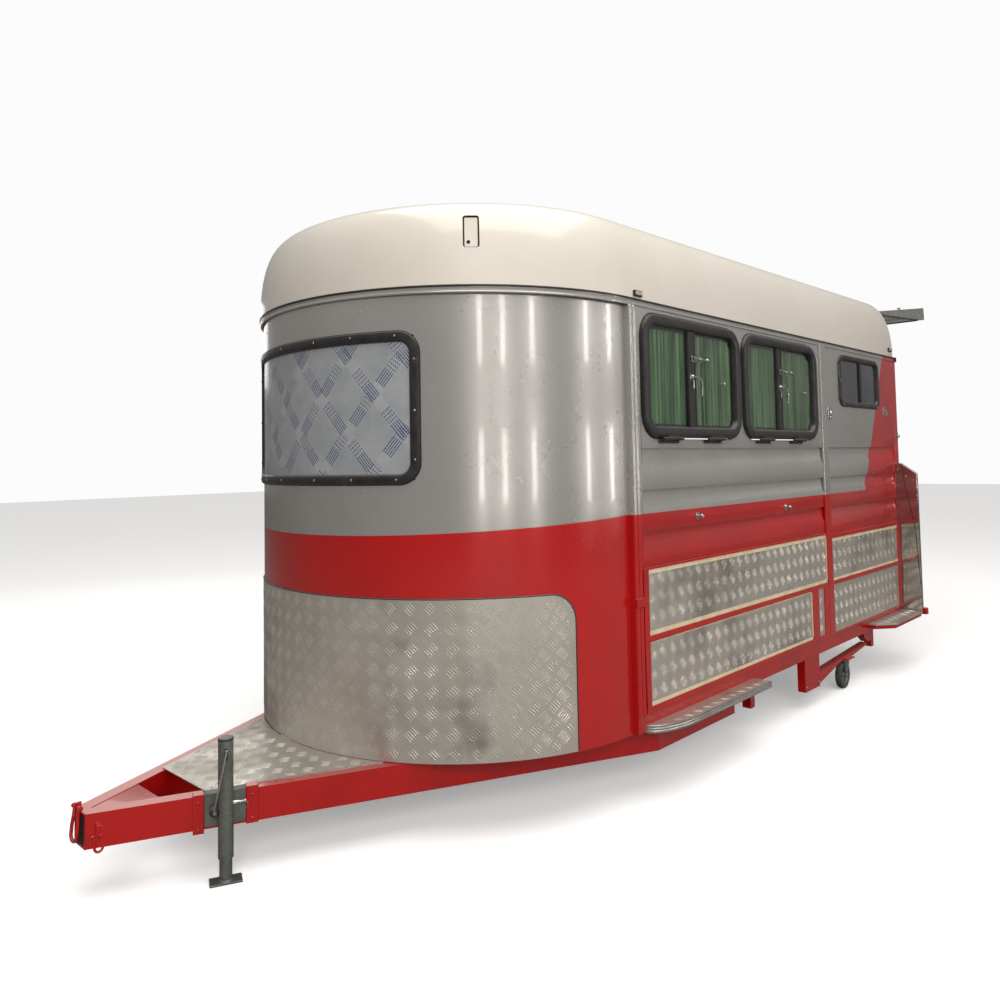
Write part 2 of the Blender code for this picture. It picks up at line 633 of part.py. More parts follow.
def roof_ring(inset, rear_inset, half_width, rear):
    """Plan loop of the roof at one height."""
    half = half_width - inset
    end = rear - rear_inset
    corner = ROOF_REAR_CORNER
    quarter = math.pi / 2
    loop = arc((0.0, at(0.0)), half, math.pi, 2 * math.pi, NOSE_STEPS)
    straights = 6
    run = end - corner
    loop += [(half, at(run * i / straights)) for i in range(1, straights)]
    loop += arc((half - corner, at(end - corner)), corner, 0.0, quarter, 4)
    loop += arc((corner - half, at(end - corner)), corner, quarter, 2 * quarter, 4)
    loop += [(-half, at(run * i / straights)) for i in range(straights - 1, 0, -1)]
    return loop


def roof_surface(builder, base_z, rise, half_width, rear):
    """Rings of one face of the roof cap, from its edge to its flat crown."""
    fullness, softness = 4.9, 2.29
    rings = []
    levels = 9
    for i in range(levels + 1):
        share = 1 - math.cos(i / levels * math.pi / 2)
        height = (1 - (1 - share) ** fullness) ** (1 / softness)
        loop = roof_ring(ROOF_SHOULDER * share, ROOF_REAR_ROUND * share, half_width, rear)
        ring = []
        for x, y in loop:
            lift = rise * height * (1 + ROOF_SLOPE * (y - at(0.0)))
            ring.append(builder.verts.new((x, y, base_z + lift)))
        rings.append(ring)
    return rings


def roof_cap():
    """Moulded roof shell, open below, cut away round the head of the rear portal."""
    builder = bmesh.new()
    base = SEAM_Z + ROOF_OVERHANG
    half = HALF_WIDTH + ROOF_OVERHANG
    rear = BODY_LENGTH + ROOF_OVERHANG
    outer = roof_surface(builder, base, ROOF_RISE, half, rear)
    inner = roof_surface(builder, base, ROOF_RISE - ROOF_THICKNESS, half - ROOF_THICKNESS,
                         rear - ROOF_THICKNESS)
    for rings in (outer, inner):
        for first, second in zip(rings, rings[1:]):
            for i in range(len(first)):
                j = (i + 1) % len(first)
                builder.faces.new((first[i], first[j], second[j], second[i]))
        builder.faces.new(rings[-1])
    for i in range(len(outer[0])):
        j = (i + 1) % len(outer[0])
        builder.faces.new((outer[0][i], outer[0][j], inner[0][j], inner[0][i]))
    cap = to_object("roof_cap", builder, CREAM)
    notch = [(-PORTAL_UPPER_HALF - GAP, base - 0.1), (PORTAL_UPPER_HALF + GAP, base - 0.1)]
    notch += portal_outline(GAP)
    return cut(cap, prism(notch, "Y", at(BODY_LENGTH - PORTAL_DEPTH - GAP), at(rear + 0.05)))


def gutter_trim():
    """Rubber-faced strip that covers the joint between the walls and the roof."""
    proud = HALF_WIDTH + GUTTER_PROUD
    outer = body_outline(proud, proud, BODY_LENGTH)
    trim = to_object("gutter_trim", prism(outer, "Z", SEAM_Z - GUTTER + GAP, SEAM_Z + ROOF_OVERHANG - GAP),
                     ALUMINIUM)
    step = NOSE_STEP
    hole = body_outline(HALF_WIDTH + GAP, outside(NOSE_RADIUS, step), BODY_LENGTH + 0.05, -0.002)
    return cut(trim, prism(hole, "Z", SEAM_Z - 0.1, SEAM_Z + 0.1))


# ---- tail door, struts and ramp -----------------------------------------------------------
TAIL_HINGE = (BODY_LENGTH + 0.015, PORTAL_TOP_Z + 0.015)
STRUT_ARM = (-0.060, -0.280)
STRUT_LUG_HALF = 0.025
TAIL_BARREL_X = 0.700
TAIL_BARREL_HALF = 0.060
TAIL_BARREL_RADIUS = 0.012
TAIL_BARREL_OFFSET = 0.006    # the barrels' axis from the hinge line, out and down


def swung(offset, angle):
    """Turn a (rearward, up) offset about the tail door's hinge: the door opens up and back."""
    y, z = offset
    return y * math.cos(angle) - z * math.sin(angle), y * math.sin(angle) + z * math.cos(angle)


def raised(builder):
    """Swing a shape modelled with the tail door shut up to the open door's place."""
    centre = (0.0, at(TAIL_HINGE[0]), TAIL_HINGE[1])
    turn = Matrix.Rotation(TAIL_DOOR_RAISED, 3, "X")
    bmesh.ops.rotate(builder, verts=builder.verts, cent=centre, matrix=turn)
    return builder


def tail_door():
    """Wedge-shaped upper tail door, modelled shut and then swung up to its open place."""
    y, z = at(TAIL_HINGE[0]), TAIL_HINGE[1]
    section = [(y, z - TAIL_BARREL_RADIUS), (y + TAIL_DOOR_THIN, z - TAIL_BARREL_RADIUS),
               (y + TAIL_DOOR_THICK, z - TAIL_DOOR_LENGTH + 0.05),
               (y + TAIL_DOOR_THICK, z - TAIL_DOOR_LENGTH), (y, z - TAIL_DOOR_LENGTH)]
    pivot = (0.0, y, z)
    door = to_object("tail_door", raised(prism(section, "X", -PORTAL_UPPER_HALF, PORTAL_UPPER_HALF)),
                     CREAM, pivot)
    for _, side in SIDES:
        lug_y = y + STRUT_ARM[0]
        lug_z = z + STRUT_ARM[1]
        lug = block(sided(side, STRUT_X + 0.014, STRUT_X + 0.020), (lug_y - 0.015, y + 0.01),
                    (lug_z - STRUT_LUG_HALF, lug_z + STRUT_LUG_HALF))
        weld(door, raised(lug))
        x = side * TAIL_BARREL_X
        barrel_y, barrel_z = y + TAIL_BARREL_OFFSET, z - TAIL_BARREL_OFFSET
        barrel = rod((x - TAIL_BARREL_HALF, barrel_y, barrel_z), (x + TAIL_BARREL_HALF, barrel_y, barrel_z),
                     TAIL_BARREL_RADIUS)
        weld(door, raised(barrel))
    return door


STRUT_TUBE_RADIUS = 0.014
STRUT_ROD_RADIUS = 0.006
STRUT_TUBE_LENGTH = 0.520
STRUT_CLOSED_PLAY = 0.040     # rod eye to the tube's far end when shut, less the rod
STRUT_BASE_EYE = (0.016, 0.009)   # radius, half width
STRUT_TOP_EYE = (0.012, 0.008)


def tail_strut(label, side):
    """Gas strut at the open tail door: barrel pinned to the portal, rod to the door."""
    reach = swung(STRUT_ARM, TAIL_DOOR_RAISED)
    base = Vector((side * STRUT_X, at(STRUT_BASE[0]), STRUT_BASE[1]))
    eye = Vector((side * STRUT_X, at(TAIL_HINGE[0]) + reach[0], TAIL_HINGE[1] + reach[1]))
    along = (eye - base).normalized()
    mouth = base + along * STRUT_TUBE_LENGTH
    tube = to_object(f"{label}_strut_tube", rod(base, mouth, STRUT_TUBE_RADIUS), BLACK_RUBBER, base)
    cut(tube, rod(base + along * 0.030, mouth + along * 0.02, STRUT_ROD_RADIUS + 0.001))
    across = Vector((STRUT_BASE_EYE[1], 0, 0))
    weld(tube, rod(base - across, base + across, STRUT_BASE_EYE[0]))
    closed_length = math.dist(STRUT_BASE, (TAIL_HINGE[0] + STRUT_ARM[0], TAIL_HINGE[1] + STRUT_ARM[1]))
    rod_length = closed_length - STRUT_CLOSED_PLAY
    piston = to_object(f"{label}_strut_rod", rod(eye - along * rod_length, eye, STRUT_ROD_RADIUS, 12),
                       ALUMINIUM, eye)
    across = Vector((STRUT_TOP_EYE[1], 0, 0))
    weld(piston, rod(eye - across, eye + across, STRUT_TOP_EYE[0]))
    return tube, piston


RAMP_CORNER = 0.030
RAMP_BARREL_X = (-0.700, 0.0, 0.700)
RAMP_BARREL_HALF = 0.090
RAMP_STANDOFF = 0.010         # behind the portal and below the tail door's free edge


def rear_ramp():
    """Loading ramp, shut, hung on a round bar below its foot."""
    y = at(BODY_LENGTH + RAMP_STANDOFF)
    axis_y = y + RAMP_THICKNESS / 2
    top = TAIL_HINGE[1] - TAIL_DOOR_LENGTH - RAMP_STANDOFF
    low = RAMP_HINGE_Z + 0.030
    pivot = (0.0, axis_y, RAMP_HINGE_Z)
    outline = rounded((-PORTAL_UPPER_HALF, PORTAL_UPPER_HALF), (low, top), RAMP_CORNER)
    ramp = to_object("rear_ramp", prism(outline, "Y", y, y + RAMP_THICKNESS), RED, pivot)
    half = RAMP_BARREL_HALF
    for centre in RAMP_BARREL_X:
        weld(ramp, rod((centre - half, axis_y, RAMP_HINGE_Z), (centre + half, axis_y, RAMP_HINGE_Z),
                       RAMP_HINGE_RADIUS))
        weld(ramp, block((centre - half, centre + half), (axis_y - 0.012, axis_y + 0.012),
                         (RAMP_HINGE_Z, low + 0.01)))
    return ramp


# ---- steps and lamp panels ----------------------------------------------------------------
STEP_OUT = 0.105
STEP_TOP_Z = 0.350
STEP_THICKNESS = 0.035
STEP_STATIONS = (0.060, 1.130)
STEP_SWEEP = 0.290            # length of the rounded front end
STEP_BRACKET_STATIONS = (0.40, 0.95)
STEP_BRACKET_THICKNESS = 0.012
STEP_BRACKET = ((0.0, 0.330), (0.090, 0.325), (0.090, 0.312), (0.0, 0.270))   # (outward, z)


def front_step(name, side):
    """Tread-plate step along the sill with a rounded front end and an aluminium edge."""
    start, end = STEP_STATIONS
    inner = HALF_WIDTH + GAP
    curve = []
    for i in range(8):
        share = i / 7 * math.pi / 2
        curve.append((inner + STEP_OUT * math.sin(share), at(start + STEP_SWEEP * (1 - math.cos(share)))))
    outline = [(inner, at(end))] + curve + [(inner + STEP_OUT, at(end))]
    outline = [(side * x, y) for x, y in outline]
    step = to_object(name, prism(outline, "Z", STEP_TOP_Z - STEP_THICKNESS, STEP_TOP_Z), TREAD_PLATE)
    bracket = [(side * (inner + out), z) for out, z in STEP_BRACKET]
    for station in STEP_BRACKET_STATIONS:
        weld(step, prism(bracket, "Y", at(station), at(station) + STEP_BRACKET_THICKNESS))
    return step


WING_OUT = 0.152
LAMP_PANEL_INSET = 0.090      # its front face ahead of the rear of the body
REAR_STEP_LENGTH = 0.700
REAR_STEP_Z = (0.335, 0.375)
REAR_STEP_NOSE = (0.050, 0.120)   # width of its front end, length of its slanting corner
LAMP_PANEL_TOP_Z = (1.500, 1.420)   # at the wall, at its outer edge
LAMP_PANEL_TOP_FLAT = 0.043
LAMP_PANEL_THICKNESS = 0.030
BUMP_STOP_PROUD = 0.022
BUMP_STOP_Z = (0.345, 0.395)


def rear_wing(name, side):
    """Rear step with the upright lamp panel that closes its rear end."""
    inner = HALF_WIDTH + GAP
    outer = HALF_WIDTH + WING_OUT
    panel = BODY_LENGTH - LAMP_PANEL_INSET
    start = panel - REAR_STEP_LENGTH
    end = at(panel + 0.005)
    plan = [(inner, at(start)), (inner + REAR_STEP_NOSE[0], at(start)), (outer, at(start + REAR_STEP_NOSE[1])),
            (outer, end), (inner, end)]
    wing = to_object(name, prism([(side * x, y) for x, y in plan], "Z", *REAR_STEP_Z), TREAD_PLATE)
    foot = REAR_STEP_Z[0] + 0.005
    face = [(inner, foot), (outer, foot), (outer, LAMP_PANEL_TOP_Z[1]),
            (inner + LAMP_PANEL_TOP_FLAT, LAMP_PANEL_TOP_Z[0]), (inner, LAMP_PANEL_TOP_Z[0])]
    rear = at(panel) + LAMP_PANEL_THICKNESS
    weld(wing, prism([(side * x, z) for x, z in face], "Y", at(panel), rear))
    weld(wing, block(sided(side, inner, outer + BUMP_STOP_PROUD), (rear - 0.005, rear + 0.045), BUMP_STOP_Z))
    return wing


# ---- casters ------------------------------------------------------------------------------
PLATE_Z = 0.1985              # underside of the beam at the caster
PLATE_THICKNESS = 0.006
PLATE_HALF = (0.050, 0.060)   # across, lengthwise
BEAM_FOOT_Z = (0.125, 0.195)  # its front end
BEAM_TAIL_Z = (0.225, 0.240)
SEAT_HALF = 0.100             # level length of the beam each side of the caster
FORK_CROWN_RADIUS = 0.034
FORK_CHEEK = 0.004
FORK_PLAY = 0.004             # between a cheek and the wheel
AXLE_RADIUS = 0.006
AXLE_BORE_RADIUS = 0.0075


def caster_beam(name, side):
    """Workshop beam between the bare hangers that carries a swivel caster."""
    start = at(CENTRE_HANGER_STATION) + 0.11 + GAP
    end = at(REAR_HANGER_STATION) - 0.07
    seat = at(CASTER_STATION)
    outline = [(start, BEAM_FOOT_Z[0]), (seat - SEAT_HALF, PLATE_Z), (seat + SEAT_HALF, PLATE_Z),
               (end, BEAM_TAIL_Z[0]), (end, BEAM_TAIL_Z[1]), (start, BEAM_FOOT_Z[1])]
    x = sided(side, *HANGER_X)
    beam = to_object(name, prism(outline, "X", *x), RED)
    plate = block(sided(side, CASTER_X - PLATE_HALF[0], CASTER_X + PLATE_HALF[0]),
                  (seat - PLATE_HALF[1], seat + PLATE_HALF[1]), (PLATE_Z - PLATE_THICKNESS, PLATE_Z + 0.002))
    return weld(beam, plate)


def caster(label, side):
    """Swivel fork and solid-tyred wheel."""
    seat = Vector((side * CASTER_X, at(CASTER_STATION), 0.0))
    hub = Vector((seat.x, seat.y - CASTER_TRAIL, CASTER_RADIUS))
    crown_top = PLATE_Z - PLATE_THICKNESS - GAP
    crown = (crown_top - PLATE_THICKNESS, crown_top)
    half = CASTER_WIDTH / 2 + FORK_PLAY
    cheek = FORK_CHEEK
    pivot = (seat.x, seat.y, crown_top)
    disc = rod((seat.x, seat.y, crown[0]), pivot, FORK_CROWN_RADIUS, 20)
    fork = to_object(f"{label}_caster_fork", disc, GALVANISED, pivot)
    weld(fork, block((seat.x - half - cheek, seat.x + half + cheek), (hub.y - 0.01, seat.y + 0.02), crown))
    for direction in (-1, 1):
        x = sorted((seat.x + direction * half, seat.x + direction * (half + cheek)))
        outline = [(hub.y - 0.018, hub.z - 0.012), (hub.y + 0.018, hub.z - 0.012), (seat.y + 0.02, crown[1]),
                   (hub.y - 0.02, crown[1])]
        weld(fork, prism(outline, "X", *x))
    across = Vector((half + 0.002, 0, 0))
    weld(fork, rod(hub - across, hub + across, AXLE_RADIUS, 12))
    across = Vector((CASTER_WIDTH / 2, 0, 0))
    tyre = rod(hub - across, hub + across, CASTER_RADIUS, 40)
    wheel = to_object(f"{label}_caster_wheel", tyre, CASTER_RUBBER, hub)
    cut(wheel, rod(hub - 2 * across, hub + 2 * across, AXLE_BORE_RADIUS, 12))
    return fork, wheel


# ---- jack ---------------------------------------------------------------------------------
ARM_OUTWARD = Vector((math.cos(ARM_ANGLE), -math.sin(ARM_ANGLE), 0.0))
ARM_ALONG = Vector((math.sin(ARM_ANGLE), math.cos(ARM_ANGLE), 0.0))
JACK_STANDOFF = 0.012         # between the arm and the tube
CLAMP_ALONG = (-0.075, 0.075)
CLAMP_OUTWARD = (GAP, 0.006)
CLAMP_Z = (0.200, 0.310)
CLAMP_LIP = 0.035             # how far it folds in over the arm
JACK_BOSS_RADIUS = 0.020
JACK_CAP = 0.006              # closed top of the tube
JACK_LEG_OVERLAP = 0.200      # length of leg inside the tube
JACK_SEAT = Vector((arm_half_width(JACK_STATION), at(JACK_STATION), 0.0))
JACK_CENTRE = JACK_SEAT + ARM_OUTWARD * (JACK_STANDOFF + JACK_TUBE_RADIUS)


def against_arm(along, outward, z):
    """A box whose sides lie along and across the left drawbar arm, from its outer face."""
    corners = []
    for a, b in ((0, 0), (1, 0), (1, 1), (0, 1)):
        point = JACK_SEAT + ARM_ALONG * along[a] + ARM_OUTWARD * outward[b]
        corners.append((point.x, point.y))
    return prism(corners, "Z", *z)


def jack_clamp():
    """Plate on the arm's outer face with the jack's pivot boss."""
    face = CLAMP_OUTWARD[1]
    lip_top = ARM_TOP_Z + face
    clamp = to_object("jack_clamp", against_arm(CLAMP_ALONG, CLAMP_OUTWARD, CLAMP_Z), GALVANISED)
    weld(clamp, against_arm(CLAMP_ALONG, (-CLAMP_LIP, face), (ARM_TOP_Z + GAP, lip_top)))
    return weld(clamp, against_arm(CLAMP_ALONG, (0.0008, face), (CLAMP_Z[1] - 0.010, lip_top)))


def jack():
    """Swing-up jack: outer tube with its collar, and a leg that slides in it."""
    pivot = (JACK_CENTRE.x, JACK_CENTRE.y, JACK_PIVOT_Z)
    bottom = Vector((JACK_CENTRE.x, JACK_CENTRE.y, JACK_TUBE_BOTTOM_Z))
    top = Vector((JACK_CENTRE.x, JACK_CENTRE.y, JACK_TOP_Z))
    tube = to_object("jack_tube", rod(bottom, top, JACK_TUBE_RADIUS, 24), GALVANISED, pivot)
    boss_start = JACK_SEAT + ARM_OUTWARD * (CLAMP_OUTWARD[1] + GAP)
    boss_start.z = JACK_PIVOT_Z
    boss_end = JACK_CENTRE + ARM_OUTWARD * 0.010
    boss_end.z = JACK_PIVOT_Z
    weld(tube, rod(boss_start, boss_end, JACK_BOSS_RADIUS))
    bore = JACK_TUBE_RADIUS - JACK_TUBE_WALL
    cut(tube, rod(bottom - Vector((0, 0, 0.02)), top - Vector((0, 0, JACK_CAP)), bore, 24))
    leg_radius = (bore - 0.001) * math.cos(math.pi / 24)
    leg_top = Vector((bottom.x, bottom.y, JACK_TUBE_BOTTOM_Z + JACK_LEG_OVERLAP))
    leg = to_object("jack_leg", rod((bottom.x, bottom.y, 0.004), leg_top, leg_radius, 24), GALVANISED,
                    (bottom.x, bottom.y, 0.0))
    inner_reach = JACK_STANDOFF + JACK_TUBE_RADIUS - JACK_FOOT_HALF[1]
    outer_reach = JACK_STANDOFF + JACK_TUBE_RADIUS + JACK_FOOT_HALF[1]
    foot_along = (-JACK_FOOT_HALF[0], JACK_FOOT_HALF[0])
    weld(leg, against_arm(foot_along, (inner_reach, outer_reach), (0.0, JACK_FOOT_THICKNESS)))
    return tube, leg


# ---- the whole trailer --------------------------------------------------------------------
drawbar_frame()
drawbar_deck()
underframe()
floor()
nose_wall()
nose_window_frame()
nose_window_pane()
stone_guard()
for side_label, side_sign in SIDES:
    corner_trim(f"{side_label}_corner_trim", side_sign)
    side_walls(side_label, side_sign)
    rear_window(f"{side_label}_rear_window", side_sign)
    front_step(f"{side_label}_front_step", side_sign)
    rear_wing(f"{side_label}_rear_wing", side_sign)
    caster_beam(f"{side_label}_caster_beam", side_sign)
    caster(side_label, side_sign)
    tail_strut(side_label, side_sign)
drop_window("left_drop_window_front", 1, WINDOW_STATIONS[0])
drop_window("left_drop_window_rear", 1, WINDOW_STATIONS[1])
drop_window("right_drop_window", -1, WINDOW_STATIONS[1])
groom_door()
rear_portal()
roof_cap()
gutter_trim()
tail_door()
rear_ramp()
jack_clamp()
jack()
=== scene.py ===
"""Looks for the half-round-nose horse trailer: paint, plate, glass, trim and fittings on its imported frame.

Metres, +Z up, drawbar to -Y, the trailer's left side to +X. A station is the distance rearward
from the front corners of the box.
"""
import json
import math

import bmesh
import bpy
from mathutils import Matrix, Vector

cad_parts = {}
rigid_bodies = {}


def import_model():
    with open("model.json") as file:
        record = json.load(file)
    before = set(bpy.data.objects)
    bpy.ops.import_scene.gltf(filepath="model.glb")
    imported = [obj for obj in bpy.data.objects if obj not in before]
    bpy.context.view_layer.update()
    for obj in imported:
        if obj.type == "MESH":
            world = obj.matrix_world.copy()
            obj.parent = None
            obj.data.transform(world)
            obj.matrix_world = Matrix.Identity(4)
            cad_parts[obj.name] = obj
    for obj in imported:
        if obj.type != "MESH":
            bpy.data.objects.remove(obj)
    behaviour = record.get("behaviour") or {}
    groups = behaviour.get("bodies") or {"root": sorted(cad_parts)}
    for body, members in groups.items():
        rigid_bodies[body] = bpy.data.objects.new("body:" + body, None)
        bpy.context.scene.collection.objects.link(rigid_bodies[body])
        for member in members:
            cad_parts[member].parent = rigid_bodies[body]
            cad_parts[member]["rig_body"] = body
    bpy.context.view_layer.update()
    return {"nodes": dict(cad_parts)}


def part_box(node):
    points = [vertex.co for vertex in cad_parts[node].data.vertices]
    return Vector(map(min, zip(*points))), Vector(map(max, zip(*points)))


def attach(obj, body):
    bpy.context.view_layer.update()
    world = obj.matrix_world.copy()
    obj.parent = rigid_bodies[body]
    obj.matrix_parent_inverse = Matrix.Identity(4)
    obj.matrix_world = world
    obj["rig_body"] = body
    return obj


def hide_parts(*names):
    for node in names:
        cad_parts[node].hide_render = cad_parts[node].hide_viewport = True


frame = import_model()

# ---- drawbar ------------------------------------------------------------------------------
# Two welded steel box arms that meet at the coupling tip and spread under the nose, with a top
# gusset at the tip. Sprayed in glossy red enamel over the welds; the tip end is left open.
FRONT_CORNER_Y = -1.440


SIDES = (("left", 1), ("right", -1))


def at(station):
    return FRONT_CORNER_Y + station


def add(tree, kind, inputs=None, **settings):
    """A node with its settings, its inputs linked to sockets or set to values."""
    node = tree.nodes.new(kind)
    for key, value in settings.items():
        setattr(node, key, value)
    for key, value in (inputs or {}).items():
        if isinstance(value, bpy.types.NodeSocket):
            tree.links.new(value, node.inputs[key])
        else:
            node.inputs[key].default_value = value
    return node


def effect(name, inputs, outputs):
    """An empty node group with named sockets; returns its tree, its inputs and its output node."""
    tree = bpy.data.node_groups.new(name, "ShaderNodeTree")
    for label, kind, value in inputs:
        socket = tree.interface.new_socket(label, in_out="INPUT", socket_type=f"NodeSocket{kind}")
        socket.default_value = value
    for label, kind in outputs:
        tree.interface.new_socket(label, in_out="OUTPUT", socket_type=f"NodeSocket{kind}")
    return tree, tree.nodes.new("NodeGroupInput").outputs, tree.nodes.new("NodeGroupOutput")


def finish(name, **sockets):
    """A material with one Principled shader, its plain sockets set; returns material, tree, shader."""
    material = bpy.data.materials.new(name)
    material.use_nodes = True
    tree = material.node_tree
    shader = tree.nodes["Principled BSDF"]
    for key, value in sockets.items():
        shader.inputs[key.replace("_", " ")].default_value = value
    return material, tree, shader


def shade(tree, shader, colour, mask=None, rough=None):
    """Colour over the surface, and roughness between two values by a mask."""
    tree.links.new(colour, shader.inputs["Base Color"])
    if rough:
        tree.links.new(between(tree, mask, *rough), shader.inputs["Roughness"])


def reckon(tree, operation, *values, clamp=False):
    """A sum worked out at every point of the surface."""
    return add(tree, "ShaderNodeMath", dict(enumerate(values)), operation=operation,
               use_clamp=clamp).outputs[0]


def pattern(tree, kind, stretch=None, **values):
    """Noise or cells fixed to the piece, drawn out along an axis if stretched."""
    where = add(tree, "ShaderNodeTexCoord").outputs["Object"]
    if stretch:
        where = add(tree, "ShaderNodeMapping", {"Vector": where, "Scale": stretch}).outputs["Vector"]
    return add(tree, f"ShaderNodeTex{kind}", {"Vector": where, **values}).outputs


def place(name, points, faces, material, body="trailer", replaces=(), smooth=35.0):
    """A mesh piece with its material, smooth up to an angle, riding on a body."""
    mesh = bpy.data.meshes.new(name)
    mesh.from_pydata([tuple(p) for p in points], [], faces)
    builder = bmesh.new()
    builder.from_mesh(mesh)
    bmesh.ops.remove_doubles(builder, verts=builder.verts, dist=1e-6)
    bmesh.ops.recalc_face_normals(builder, faces=builder.faces)
    builder.to_mesh(mesh)
    builder.free()
    return dress(name, mesh, material, body, replaces, smooth)


def dress(name, mesh, material, body, replaces=(), smooth=35.0):
    mesh.materials.clear()
    mesh.materials.append(material)
    mesh.shade_smooth()
    mesh.set_sharp_from_angle(angle=math.radians(smooth))
    piece = bpy.data.objects.new(name, mesh)
    bpy.context.scene.collection.objects.link(piece)
    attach(piece, body)
    if replaces:
        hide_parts(*replaces)
    return piece


def rounded(piece, edge, segments=2, degrees=30.0):
    """Rounded edges wherever two faces meet at more than an angle."""
    bevel = piece.modifiers.new("rounded edges", "BEVEL")
    bevel.width, bevel.segments, bevel.limit_method = edge, segments, "ANGLE"
    bevel.angle_limit = math.radians(degrees)
    bevel.harden_normals = True
    return piece


def softened(node, material, edge=0.002, segments=2):
    """A CAD node with its flat faces joined up and its corners rounded, in place of the plain one."""
    source = frame["nodes"][node]
    mesh = source.data.copy()
    builder = bmesh.new()
    builder.from_mesh(mesh)
    bmesh.ops.remove_doubles(builder, verts=builder.verts, dist=1e-5)
    bmesh.ops.dissolve_limit(builder, angle_limit=math.radians(0.3), verts=builder.verts,
                             edges=builder.edges)
    builder.to_mesh(mesh)
    builder.free()
    return rounded(dress(f"{node}_finished", mesh, material, source["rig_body"], (node,), 40.0), edge,
                   segments, 40.0)


# blotches of one value over a surface, such as a paint's uneven depth
blotch, given, out = effect("blotches",
                            [("Scale", "Float", 3.0), ("Low", "Float", 0.4), ("High", "Float", 0.6)],
                            [("Mask", "Float")])
noise = pattern(blotch, "Noise", Scale=given["Scale"], Detail=5.0, Roughness=0.6)
spread = add(blotch, "ShaderNodeMapRange",
             {"Value": noise["Fac"], "From Min": given["Low"], "From Max": given["High"]})
blotch.links.new(spread.outputs["Result"], out.inputs["Mask"])

# the slow ripple and fine orange peel of sprayed paint, as a height
peel, given, out = effect("orange_peel", [("Scale", "Float", 180.0), ("Ripple", "Float", 1.0)],
                          [("Height", "Float")])
fine = pattern(peel, "Noise", Scale=given["Scale"], Detail=2.0)["Fac"]
slow = reckon(peel, "MULTIPLY", pattern(peel, "Noise", Scale=2.5, Detail=1.0)["Fac"], given["Ripple"])
peel.links.new(reckon(peel, "MULTIPLY_ADD", fine, 0.06, slow), out.inputs["Height"])

# fine dust that settles on faces that look up, as a mask
dust, given, out = effect("settled_dust", [("Amount", "Float", 0.3), ("Scale", "Float", 9.0)],
                          [("Mask", "Float")])
facing = add(dust, "ShaderNodeNewGeometry")
upward = add(dust, "ShaderNodeSeparateXYZ", {"Vector": facing.outputs["Normal"]})
noise = pattern(dust, "Noise", Scale=given["Scale"], Detail=6.0, Roughness=0.65)["Fac"]
level = add(dust, "ShaderNodeMapRange", {"Value": upward.outputs["Z"], "From Min": 0.2, "From Max": 1.0})
patch = reckon(dust, "MULTIPLY", noise, level.outputs["Result"])
dust.links.new(reckon(dust, "MULTIPLY", patch, given["Amount"], clamp=True), out.inputs["Mask"])


def group(tree, which, **values):
    node = tree.nodes.new("ShaderNodeGroup")
    node.node_tree = which
    for key, value in values.items():
        if isinstance(value, bpy.types.NodeSocket):
            tree.links.new(value, node.inputs[key])
        else:
            node.inputs[key].default_value = value
    return node.outputs


def mix(tree, share, first, second):
    """Colour between two colours, by a mask."""
    node = add(tree, "ShaderNodeMix", {"Factor": share}, data_type="RGBA")
    for slot, value in ((6, first), (7, second)):
        if isinstance(value, bpy.types.NodeSocket):
            tree.links.new(value, node.inputs[slot])
        else:
            node.inputs[slot].default_value = (*value, 1.0)
    return node.outputs[2]


def between(tree, share, low, high):
    """Value between two values, by a mask."""
    return add(tree, "ShaderNodeMapRange", {"Value": share, "To Min": low, "To Max": high}).outputs["Result"]


def relief(tree, shader, height, depth, strength=1.0):
    """Height feeding the shader's normal."""
    bump = add(tree, "ShaderNodeBump", {"Height": height, "Distance": depth, "Strength": strength})
    tree.links.new(bump.outputs["Normal"], shader.inputs["Normal"])


RED_PAINT, RED_DEEP = (0.455, 0.0050, 0.0045), (0.340, 0.0035, 0.0040)
DUST_COLOUR = (0.42, 0.38, 0.33)


def worn_finish(name, colours, blotches, rough=None, dusty=None, dulled=False, skin=None, **sockets):
    """A finish that drifts between two colours in blotches, under settled dust and a fine skin.

    blotches are (scale, low, high), dusty is (amount, scale, colour), skin is (scale, ripple, depth,
    strength). Roughness follows the blotches, or the dust where that dulls the finish.
    """
    material, tree, shader = finish(name, **sockets)
    mask = group(tree, blotch, **dict(zip(("Scale", "Low", "High"), blotches)))["Mask"]
    tone = mix(tree, mask, *colours)
    if dusty:
        settled = group(tree, dust, Amount=dusty[0], Scale=dusty[1])["Mask"]
        tone = mix(tree, settled, tone, dusty[2])
        mask = settled if dulled else mask
    shade(tree, shader, tone, mask, rough)
    if skin:
        relief(tree, shader, group(tree, peel, Scale=skin[0], Ripple=skin[1])["Height"], *skin[2:])
    return material


red_enamel = worn_finish("red_enamel", (RED_PAINT, RED_DEEP), (2.2, 0.35, 0.7), (0.22, 0.62),
                         (0.35, 14.0, DUST_COLOUR), True, (260.0, 0.5, 0.0015, 0.35),
                         Coat_Weight=0.45, Coat_Roughness=0.06)
softened("drawbar_frame", red_enamel, 0.004, 3)


def band(first, second, count):
    """Faces between two rings of points, given the numbers at which the rings start."""
    return [(first + i, first + (i + 1) % count, second + (i + 1) % count, second + i) for i in range(count)]


def swept(name, rings, material, body="trailer", closed=False, replaces=(), smooth=40.0):
    """Rings of points joined one to the next, and the last to the first or both ends capped."""
    n, m = len(rings[0]), len(rings)
    faces = []
    for k in range(m if closed else m - 1):
        faces += band(k * n, (k + 1) % m * n, n)
    if not closed:
        faces += [tuple(range(n)), tuple(range((m - 1) * n, m * n))]
    return place(name, [p for ring in rings for p in ring], faces, material, body, replaces, smooth)


